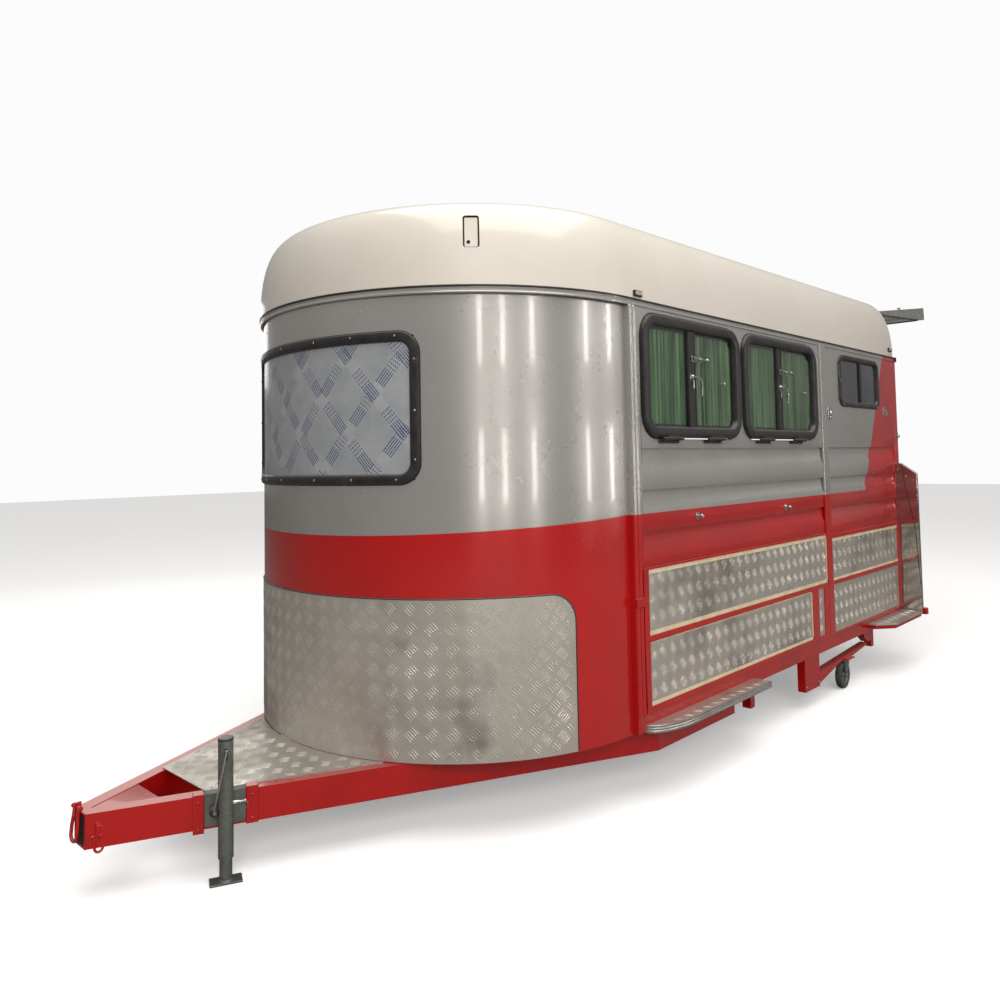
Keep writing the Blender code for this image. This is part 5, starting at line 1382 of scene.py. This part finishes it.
ramp_boxes("ramp_frame", [(x, z, (-0.001, 0.010)) for x, z in (
    ((-0.975, -0.925), (0.390, 1.485)), ((0.925, 0.975), (0.390, 1.485)), ((-0.925, 0.925), (1.435, 1.485)),
    ((-0.925, 0.925), (0.390, 0.430)), ((-0.925, 0.925), (0.790, 0.820)))], red_enamel, 0.003)
ramp_boxes("ramp_kick_plate", [((-0.922, 0.922), (0.433, 0.787), (0.0003, 0.002))], tread_plate, 0.0005)
tread_bars("ramp_kick_bars", lambda u, v, w: (u, RAMP_FACE + 0.002 + w, v),
           lambda u, v: abs(u) < 0.915 and 0.439 < v < 0.781, (-0.95, 0.95), (0.42, 0.80), "rear_ramp")
ramp_boxes("ramp_upper_skin", [((-0.922, 0.922), (0.823, 1.432), (0.0003, 0.003))], silver_enamel, 0.0006)
ramp_boxes("ramp_number_panel", [((-0.270, 0.270), (1.060, 1.180), (0.003, 0.009))], black_rubber, 0.003)
turned("ramp_handle_pivot", (0.0, RAMP_FACE + 0.003, 1.340), (0, 1, 0), [(0, 0), (0, 0.024), (0.005, 0.024),
       (0.008, 0.014), (0.016, 0.012), (0.018, 0)], bright_steel, "rear_ramp", 24)
grip = [(-0.11, 0.002), (-0.11, 0.030), (-0.09, 0.040), (0.09, 0.040), (0.11, 0.030), (0.11, 0.002)]
tube("ramp_handle", [(x, RAMP_FACE + w, 1.34) for x, w in grip], 0.009, black_rubber, "rear_ramp")
ramp_boxes("ramp_hinge_straps",
           [((x - 0.045, x + 0.045), (0.372, 0.520), (0.009, 0.014)) for x in (-0.7, 0.0, 0.7)],
           black_rubber)
dome_heads("ramp_hinge_bolts", [((x + d, RAMP_FACE + 0.014, z), (0, 1, 0)) for x in (-0.7, 0.0, 0.7)
                                for d in (-0.025, 0.025) for z in (0.400, 0.490)], 0.007, 0.004, bright_steel,
           "rear_ramp")
for label, side in SIDES:
    x = side * 0.950
    ramp_boxes(f"{label}_ramp_keeper", [((x - 0.016, x + 0.016), (1.300, 1.345), (0.009, 0.030))],
               bright_steel,
               0.003)

# reflectors: plain red triangles low on the ramp
red_lens = lens_finish("red_lens", 220.0, ((0.42, 0.006, 0.006), (0.70, 0.030, 0.020)), (0.10, 0.25), 0.6)
for number, x in enumerate((-0.80, 0.80), 1):
    corners = [(x - 0.075, 0.850), (x + 0.075, 0.850), (x, 0.980)]
    flat_plate(f"ramp_reflector_{number}", lambda u, v, w: (u, RAMP_FACE + w, v), corners, 0.003, 0.009,
               red_lens,
               "rear_ramp", 0.003)

# ---- front steps --------------------------------------------------------------------------
# Tread-plate steps along the sill, rounded at the front, with a grooved aluminium edging.
STEP_TOP_Z = 0.350


def front_step(label, side):
    start, end, out, sweep = 0.060, 1.130, 0.105, 0.290
    wall = HALF_WIDTH + 0.0003
    curve = [(wall + out * math.sin(a), start + sweep * (1 - math.cos(a)))
             for a in (math.pi / 2 * k / 24 for k in range(25))]
    curve.append((wall + out, end))
    outline = [(wall, start + 0.002)] + [(x - 0.0025, s) for x, s in curve[1:]] + [(wall, end)]
    put = lambda x, s, h: (side * x, at(s), h)
    flat_plate(f"{label}_step_tread", put, outline, STEP_TOP_Z - 0.005, STEP_TOP_Z - 0.0016, tread_plate,
               replaces=(f"{label}_front_step",), edge=0.0008)
    tread_bars(f"{label}_step_bars", lambda u, v, w: (side * u, at(v), STEP_TOP_Z - 0.0016 + w),
               lambda u, v: u > HALF_WIDTH + 0.006 and v < end - 0.006 and u < HALF_WIDTH + out * math.sin(
                   math.acos(max(min(1 - (v - start) / sweep, 1.0), 0.0))) - 0.009,
               (HALF_WIDTH, HALF_WIDTH + out), (start, end))
    section = [(-0.0035, 0.0), (-0.0005, 0.0012), (0.0012, 0.0), (0.0012, -0.006), (-0.0004, -0.0075),
               (-0.0004, -0.010), (0.0012, -0.0115), (0.0012, -0.0175), (-0.0004, -0.019), (-0.0004, -0.0215),
               (0.0012, -0.023), (0.0012, -0.032), (-0.0005, -0.0345), (-0.0035, -0.0345)]
    rings = []
    for i, (x, s) in enumerate(curve):
        before, after = curve[max(i - 1, 0)], curve[min(i + 1, len(curve) - 1)]
        run = Vector((after[0] - before[0], after[1] - before[1])).normalized()
        rings.append([(side * (x + run.y * w), at(s - run.x * w), STEP_TOP_Z + h) for w, h in section])
    swept(f"{label}_step_edging", rings, aluminium_strip, smooth=50.0)
    inner, outer = HALF_WIDTH + 0.0005, HALF_WIDTH + 0.085
    profile = [(inner, 0.344), (outer, 0.344), (outer, 0.333), (inner, 0.272)]
    for number, station in enumerate((0.40, 0.95), 1):
        flat_plate(f"{label}_step_bracket_{number}", lambda a, b, h: (side * a, h, b), profile, at(station),
                   at(station) + 0.010, red_enamel, edge=0.0015)


front_step("left", 1)
front_step("right", -1)

# ---- rear wings ---------------------------------------------------------------------------
# Small tread-plate steps closed at the back by upright panels of mirror-finished stainless sheet
# with a folded edge, carrying the lamps on their rear faces, and a red bump stop below.
polished_sheet = worn_finish("polished_sheet", ((0.60, 0.575, 0.545), (0.47, 0.45, 0.42)), (4.0, 0.3, 0.75),
                             (0.07, 0.20), skin=(22.0, 3.0, 0.012, 0.8), Metallic=1.0)


def rear_wing(label, side):
    inner, outer = HALF_WIDTH + 0.0003, HALF_WIDTH + 0.152
    start, panel = 2.900, 3.600
    put = lambda x, s, h: (side * x, at(s), h)
    plan = [(inner, start), (inner + 0.05, start), (outer, start + 0.12), (outer, panel), (inner, panel)]
    flat_plate(f"{label}_rear_step", put, [(inner, start + 0.004), (inner + 0.046, start + 0.004),
               (outer - 0.010, start + 0.125), (outer - 0.010, panel), (inner, panel)], 0.336, 0.361,
               red_enamel,
               replaces=(f"{label}_rear_wing",), edge=0.002)
    flat_plate(f"{label}_rear_step_tread", put, plan, 0.3615, 0.376, tread_plate, edge=0.0015)
    tread_bars(f"{label}_rear_step_bars", lambda u, v, w: (side * u, at(v), 0.376 + w),
               lambda u, v: inner + 0.006 < u < min(outer - 0.006, inner + 0.048 + (v - start) * 0.85) and
               start + 0.008 < v < panel - 0.006, (inner, outer), (start, panel))
    face = [(inner, 0.377), (outer, 0.377), (outer, 1.420), (inner + 0.043, 1.500), (inner, 1.500)]
    stand = lambda x, z, h: (side * x, at(h), z)
    flat_plate(f"{label}_lamp_panel", stand, face, panel, panel + 0.030, polished_sheet, edge=0.0025)
    fold = [(outer - 0.010, 0.379), (outer - 0.002, 0.379), (outer - 0.002, 1.418), (inner + 0.041, 1.498),
            (inner + 0.030, 1.498), (outer - 0.010, 1.413)]
    flat_plate(f"{label}_lamp_panel_fold", stand, fold, panel - 0.0020, panel + 0.001, polished_sheet,
               edge=0.0008)
    # a thin black rod run along a dark line down the panel's front face
    line = [put(inner + x, panel - 0.0008, z) for x, z in ((0.045, 1.492), (0.050, 1.45), (0.057, 1.375),
                                                            (0.098, 1.147), (0.125, 1.00), (0.147, 0.58))]
    tube(f"{label}_lamp_panel_dark_line", [(p[0], p[1] - 0.002, p[2]) for p in line], 0.0022, black_rubber, steps=6)
    dome_heads(f"{label}_lamp_panel_screws", [((side * x, at(panel), z), (0, -1, 0)) for x, z in
               ((inner + 0.016, 1.45), (inner + 0.075, 1.40), (inner + 0.125, 1.37), (inner + 0.016, 0.46))],
               0.005, 0.0022, bright_steel)
    boxes(f"{label}_bump_stop", [(sorted((side * inner, side * (outer + 0.0205))),
                                  (at(panel) + 0.032, at(panel) + 0.074), (0.346, 0.394))], red_enamel,
          edge=0.004)
    rear = at(panel) + 0.030
    for number, (z, lens) in enumerate(((1.150, red_lens), (1.000, marker_lens), (0.850, red_lens)), 1):
        centre = (side * (inner + 0.076), rear - 0.0005, z)
        turned(f"{label}_lamp_bezel_{number}", centre, (0, 1, 0),
               [(0, 0), (0, 0.056), (0.008, 0.056), (0.013, 0.050),
               (0.013, 0.045), (0.008, 0.044), (0.008, 0)], black_rubber, steps=40)
        turned(f"{label}_lamp_lens_{number}", centre, (0, 1, 0), [(0.008, 0), (0.008, 0.0435), (0.016, 0.042),
               (0.021, 0.034), (0.024, 0.018), (0.0245, 0)], lens, steps=40)


rear_wing("left", 1)
rear_wing("right", -1)

# ---- workshop casters ---------------------------------------------------------------------
# Temporary beams slung between the bare spring hangers carry solid-tyred swivel casters while
# the axles are off. Red beams, zinc forks, dark worn rubber tyres on grey hubs.
def galvanised_finish():
    material, tree, shader = finish("galvanised_steel", Metallic=0.85)
    spangle = pattern(tree, "Voronoi", Scale=90.0)["Distance"]
    tone = mix(tree, spangle, (0.200, 0.225, 0.205), (0.285, 0.310, 0.290))
    stained = group(tree, blotch, Scale=14.0, Low=0.45, High=0.8)["Mask"]
    shade(tree, shader, mix(tree, stained, tone, (0.150, 0.160, 0.140)), stained, (0.42, 0.62))
    relief(tree, shader, group(tree, peel, Scale=300.0, Ripple=0.6)["Height"], 0.002, 0.35)
    return material


galvanised_steel = galvanised_finish()
caster_rubber = worn_finish("caster_rubber", ((0.035, 0.033, 0.031), (0.115, 0.105, 0.095)),
                            (22.0, 0.35, 0.75),
                            skin=(200.0, 0.8, 0.003, 0.5), Roughness=0.75)
for label, side in SIDES:
    softened(f"{label}_caster_beam", red_enamel, 0.0025, 2)
    softened(f"{label}_caster_fork", galvanised_steel, 0.0008, 2)
    wheel_low, wheel_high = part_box(f"{label}_caster_wheel")
    hub = (wheel_low + wheel_high) / 2
    start = Vector((wheel_low.x, hub.y, hub.z))
    width = wheel_high.x - wheel_low.x
    turned(f"{label}_tyre", start, (1, 0, 0), [(0.003, 0.058), (0.0, 0.066), (0.0, 0.078), (0.003, 0.085),
           (0.009, 0.0885), (0.014, 0.0899), (width - 0.014, 0.0899), (width - 0.009, 0.0885),
           (width - 0.003, 0.085),
           (width, 0.078), (width, 0.066), (width - 0.003, 0.058), (0.003, 0.058)], caster_rubber,
           f"{label}_caster_wheel", 56, (f"{label}_caster_wheel",))
    turned(f"{label}_wheel_centre", start, (1, 0, 0),
           [(0.001, 0.0078), (0.001, 0.020), (0.006, 0.023), (0.010, 0.050),
           (0.004, 0.057), (0.004, 0.0585), (width - 0.004, 0.0585), (width - 0.004, 0.057),
           (width - 0.010, 0.050),
           (width - 0.006, 0.023), (width - 0.001, 0.020), (width - 0.001, 0.0078), (0.001, 0.0078)],
           galvanised_steel,
           f"{label}_caster_wheel", 40)
    dome_heads(f"{label}_axle_nuts", [((wheel_low.x - 0.008, hub.y, hub.z), (-1, 0, 0)),
               ((wheel_high.x + 0.008, hub.y, hub.z), (1, 0, 0))], 0.010, 0.006, galvanised_steel,
               f"{label}_caster_fork", 6)
    seat_y = at(2.530)
    heads = [((side * 1.060 + a, seat_y + b, 0.1925), (0, 0, -1)) for a in (-0.040, 0.040)
             for b in (-0.048, 0.048)]
    dome_heads(f"{label}_caster_bolts", heads, 0.006, 0.004, galvanised_steel)

# hanger bolts: the spring eyes' empty holes and their loose pins on each side
for label, side in SIDES:
    heads = [((side * 1.0855, at(s), z), (side, 0, 0)) for s, z in ((1.140, 0.205), (1.950 - 0.090, 0.135),
             (1.950 + 0.095, 0.135), (2.975, 0.212))]
    dome_heads(f"{label}_hanger_bolts", heads, 0.011, 0.006, galvanised_steel, sides=6)

# ---- drawbar jack -------------------------------------------------------------------------
# Galvanised swing-up prop stand: a capped tube with a slot and link bar, clamped to the arm by a
# folded bracket between two red cheeks, held by a spring pin, with a sliding inner leg and foot.
softened("jack_clamp", galvanised_steel, 0.001, 2)
arm_angle = math.atan(ARM_SPREAD)
arm_out = Vector((math.cos(arm_angle), -math.sin(arm_angle), 0))
arm_along = Vector((math.sin(arm_angle), math.cos(arm_angle), 0))
JACK_STATION = -1.571
seat = Vector((0.050 + ARM_SPREAD * (JACK_STATION + 2.010), at(JACK_STATION), 0))
TUBE_R = 0.0285
jack_axis = seat + arm_out * (0.012 + TUBE_R)


def beside_arm(a, w, z):
    return seat + arm_along * a + arm_out * w + Vector((0, 0, z))


def arm_boxes(name, sizes, material, body="trailer", edge=0.0015):
    turn = Matrix.Translation(seat) @ Matrix((arm_out, arm_along, Vector((0, 0, 1)))).transposed().to_4x4()
    return boxes(name, [(w, a, z) for a, w, z in sizes], material, body, edge, turn=turn)


TUBE_BOTTOM_Z, TUBE_TOP_Z, PIVOT_Z = 0.090, 0.540, 0.255
bore = TUBE_R - 0.0035
turned("jack_outer_tube", (jack_axis.x, jack_axis.y, 0), (0, 0, 1),
       [(TUBE_BOTTOM_Z, bore), (TUBE_BOTTOM_Z, TUBE_R - 0.0006), (TUBE_BOTTOM_Z + 0.0006, TUBE_R),
        (TUBE_TOP_Z - 0.010, TUBE_R), (TUBE_TOP_Z - 0.010, bore), (TUBE_BOTTOM_Z, bore)], galvanised_steel,
       "jack_tube", 48, ("jack_tube",))
turned("jack_cap", (jack_axis.x, jack_axis.y, TUBE_TOP_Z - 0.0115), (0, 0, 1),
       [(0, 0), (0, bore), (0.0016, TUBE_R + 0.0012), (0.008, TUBE_R + 0.0012), (0.0108, TUBE_R - 0.002),
        (0.0112, 0)],
       black_rubber, "jack_tube", 48)
turned("jack_pivot_boss", seat + arm_out * 0.0065 + Vector((0, 0, PIVOT_Z)), arm_out,
       [(0, 0), (0, 0.020), (0.010, 0.020), (0.014, 0.018), (0.014, 0)], galvanised_steel, "jack_tube", 32)
leg_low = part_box("jack_leg")[0].z
leg_r = bore - 0.0012
turned("jack_inner_leg", (jack_axis.x, jack_axis.y, 0), (0, 0, 1),
       [(0.007, 0), (0.007, leg_r), (0.289, leg_r), (0.290, leg_r - 0.001), (0.290, 0)], galvanised_steel,
       "jack_leg", 40,
       ("jack_leg",))
foot_w = 0.012 + TUBE_R
arm_boxes("jack_foot", [((-0.060, 0.060), (foot_w - 0.033, foot_w + 0.033), (0.0, 0.0075))], galvanised_steel,
          "jack_leg", 0.002)
turned("jack_foot_weld", (jack_axis.x, jack_axis.y, 0.007), (0, 0, 1), [(0, 0), (0, leg_r + 0.005),
       (0.002, leg_r + 0.0035), (0.006, leg_r + 0.0005), (0.006, 0)], galvanised_steel, "jack_leg", 40)
slot_out = lambda a, w, z: jack_axis + arm_along * a + arm_out * w + Vector((0, 0, z))
slot = [slot_out(0.0065 * math.cos(t), TUBE_R + 0.0004,
                 (0.500 if math.sin(t) > 0 else 0.462) + 0.0065 * math.sin(t))
        for t in (2 * math.pi * k / 24 for k in range(24))]
tube("jack_slot_rim", slot, 0.0016, galvanised_steel, "jack_tube", closed=True, steps=6)
slot_inner = [(0.006 * math.cos(t), (0.500 if math.sin(t) > 0 else 0.462) + 0.006 * math.sin(t))
              for t in (2 * math.pi * k / 24 for k in range(24))]
# the slot is a near-black plate in the tube wall: painted shade inside the tube
flat_plate("jack_slot", lambda a, b, h: slot_out(a, h, b), slot_inner, TUBE_R - 0.002, TUBE_R + 0.0006,
           painted_shade_inside,
           "jack_tube")
tube("jack_link_bar", [slot_out(0.001, TUBE_R + 0.006, 0.492), slot_out(-0.004, TUBE_R + 0.010, 0.470),
                       slot_out(-0.018, TUBE_R + 0.008, 0.400), slot_out(-0.036, TUBE_R + 0.000, 0.315),
                       slot_out(-0.043, TUBE_R - 0.010, 0.276)], 0.0034, aluminium_strip, "jack_tube",
     steps=8)
turned("jack_link_eye", slot_out(0.001, TUBE_R - 0.001, 0.494), arm_out,
       [(0, 0), (0, 0.0052), (0.006, 0.0052),
       (0.008, 0.0035), (0.008, 0)], bright_steel, "jack_tube", 20)
turned("jack_pivot_bolt", slot_out(-0.041, -0.020, 0.262), arm_out, [(0, 0), (0, 0.018), (0.022, 0.018),
       (0.024, 0.016), (0.024, 0.0115), (0.026, 0.0110), (0.032, 0.0095), (0.033, 0)], black_rubber,
       "jack_tube", 28)
turned("jack_pivot_nut", slot_out(-0.041, 0.012, 0.262), arm_out, [(0, 0), (0, 0.0085), (0.005, 0.0085),
       (0.006, 0.0065), (0.006, 0)], galvanised_steel, "jack_tube", 6)
turned("jack_spring_pin", slot_out(TUBE_R - 0.002, 0.0, 0.288), arm_along,
       [(0, 0), (0, 0.0085), (0.020, 0.0085),
       (0.022, 0.006), (0.040, 0.0055), (0.042, 0.008), (0.047, 0.008), (0.048, 0)], bright_steel,
       "jack_tube", 24)
tube("jack_pin_ring", [slot_out(TUBE_R + 0.043 + 0.010 * math.sin(t), 0.002,
                                0.288 - 0.012 + 0.012 * math.cos(t))
                       for t in (2 * math.pi * k / 20 for k in range(20))], 0.0018, bright_steel, "jack_tube",
     closed=True, steps=6)
arm_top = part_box("drawbar_frame")[1].z
arm_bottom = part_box("drawbar_frame")[0].z
cheeks = [((-0.118, -0.077), (0.0004, 0.006), (arm_bottom - 0.014, arm_top + 0.006)),
          ((0.077, 0.124), (0.0004, 0.007), (arm_bottom - 0.004, arm_top + 0.012)),
          ((-0.118, -0.077), (-0.040, 0.006), (arm_top + 0.0004, arm_top + 0.006)),
          ((0.077, 0.124), (-0.040, 0.007), (arm_top + 0.0004, arm_top + 0.012))]
arm_boxes("jack_cheeks", cheeks, red_enamel, edge=0.003)
dome_heads("jack_cheek_bolts",
           [(beside_arm(-0.098, 0.006, z), arm_out) for z in (arm_bottom + 0.002, arm_top - 0.025)]
           + [(beside_arm(0.100, 0.007, z), arm_out) for z in (arm_bottom + 0.016, arm_top - 0.022)], 0.006,
           0.004,
           red_enamel, sides=6)


# ---- studio -------------------------------------------------------------------------------
# A plain pale floor, soft lamps and the view.
def stage_floor():
    mesh = bpy.data.meshes.new("studio_floor")
    s, z = 40.0, -0.001
    mesh.from_pydata([(-s, -s, z), (s, -s, z), (s, s, z), (-s, s, z)], [], [(0, 1, 2, 3)])
    material, tree, shader = finish("studio_floor", Roughness=0.95, Specular_IOR_Level=0.0)
    seen = add(tree, "ShaderNodeLightPath").outputs["Is Camera Ray"]
    tree.links.new(mix(tree, seen, (0.24, 0.23, 0.22), (0.90, 0.90, 0.90)), shader.inputs["Base Color"])
    tree.links.new(mix(tree, seen, (0.0, 0.0, 0.0), (1.0, 1.0, 1.0)), shader.inputs["Emission Color"])
    shader.inputs["Emission Strength"].default_value = 0.30
    mesh.materials.append(material)
    floor = bpy.data.objects.new("studio_floor", mesh)
    bpy.context.scene.collection.objects.link(floor)


stage_floor()
world = bpy.data.worlds.new("studio")
world.use_nodes = True
backdrop = world.node_tree.nodes["Background"]
seen = add(world.node_tree, "ShaderNodeLightPath").outputs["Is Camera Ray"]
sky = add(world.node_tree, "ShaderNodeTexCoord")
height = add(world.node_tree, "ShaderNodeSeparateXYZ", {"Vector": sky.outputs["Generated"]})
rise = between(world.node_tree, height.outputs["Z"], 0.0, 1.0)
room = mix(world.node_tree, rise, (0.21, 0.205, 0.20), (0.60, 0.59, 0.57))
world.node_tree.links.new(mix(world.node_tree, seen, room, (0.97, 0.97, 0.97)), backdrop.inputs["Color"])
backdrop.inputs["Strength"].default_value = 1.0
bpy.context.scene.world = world
bpy.context.scene.view_settings.view_transform = "Standard"


def lamp(name, place_at, aim, size, power, mirrored=True):
    data = bpy.data.lights.new(name, "AREA")
    data.shape = "RECTANGLE"
    data.size, data.size_y = size
    data.energy = power
    data.color = (1.0, 0.97, 0.93)
    light = bpy.data.objects.new(name, data)
    light.location = place_at
    light.rotation_euler = (Vector(aim) - Vector(place_at)).to_track_quat("-Z", "Y").to_euler()
    light.visible_camera = False
    light.visible_glossy = mirrored
    bpy.context.scene.collection.objects.link(light)


lamp("overhead", (1.5, -1.0, 8.0), (0, 0, 1.0), (7.0, 9.0), 530.0)
lamp("front_left", (8.0, -8.0, 5.5), (0, -0.5, 1.2), (5.0, 3.5), 470.0, mirrored=False)
for number, degrees in enumerate((53, 66, 83, 117, 134), 1):
    around = math.radians(degrees)
    for row, z in (("low", 1.5), ("high", 3.5)):
        lamp(f"window_strip_{row}_{number}",
             (0.9 + 8.5 * math.sin(around), -2.0 - 8.5 * math.cos(around), z), (0.6, -1.6, 1.9), (0.42, 1.05),
             17.0)
lamp("far_window", (-7.8, 0.3, 3.3), (0.1, -3.0, 0.4), (3.5, 1.3), 22.0)

CAMERA_PLACE = Vector((3.2788, -4.6231, 1.5824))
YAW, PITCH, ROLL = (math.radians(a) for a in (43.41, 3.02, -1.05))
forward = Vector((-math.sin(YAW) * math.cos(PITCH), math.cos(YAW) * math.cos(PITCH), math.sin(PITCH)))
level = Vector((math.cos(YAW), math.sin(YAW), 0.0))
upright = level.cross(forward)
right = level * math.cos(ROLL) + upright * math.sin(ROLL)
up = upright * math.cos(ROLL) - level * math.sin(ROLL)
data = bpy.data.cameras.new("view")
data.sensor_width = 36.0
data.lens = 29.56
data.shift_y = -0.0834
data.dof.use_dof = False
camera = bpy.data.objects.new("view", data)
turn = Matrix((right, up, -forward)).transposed()
camera.matrix_world = Matrix.Translation(CAMERA_PLACE) @ turn.to_4x4()
bpy.context.scene.collection.objects.link(camera)
bpy.context.scene.camera = camera
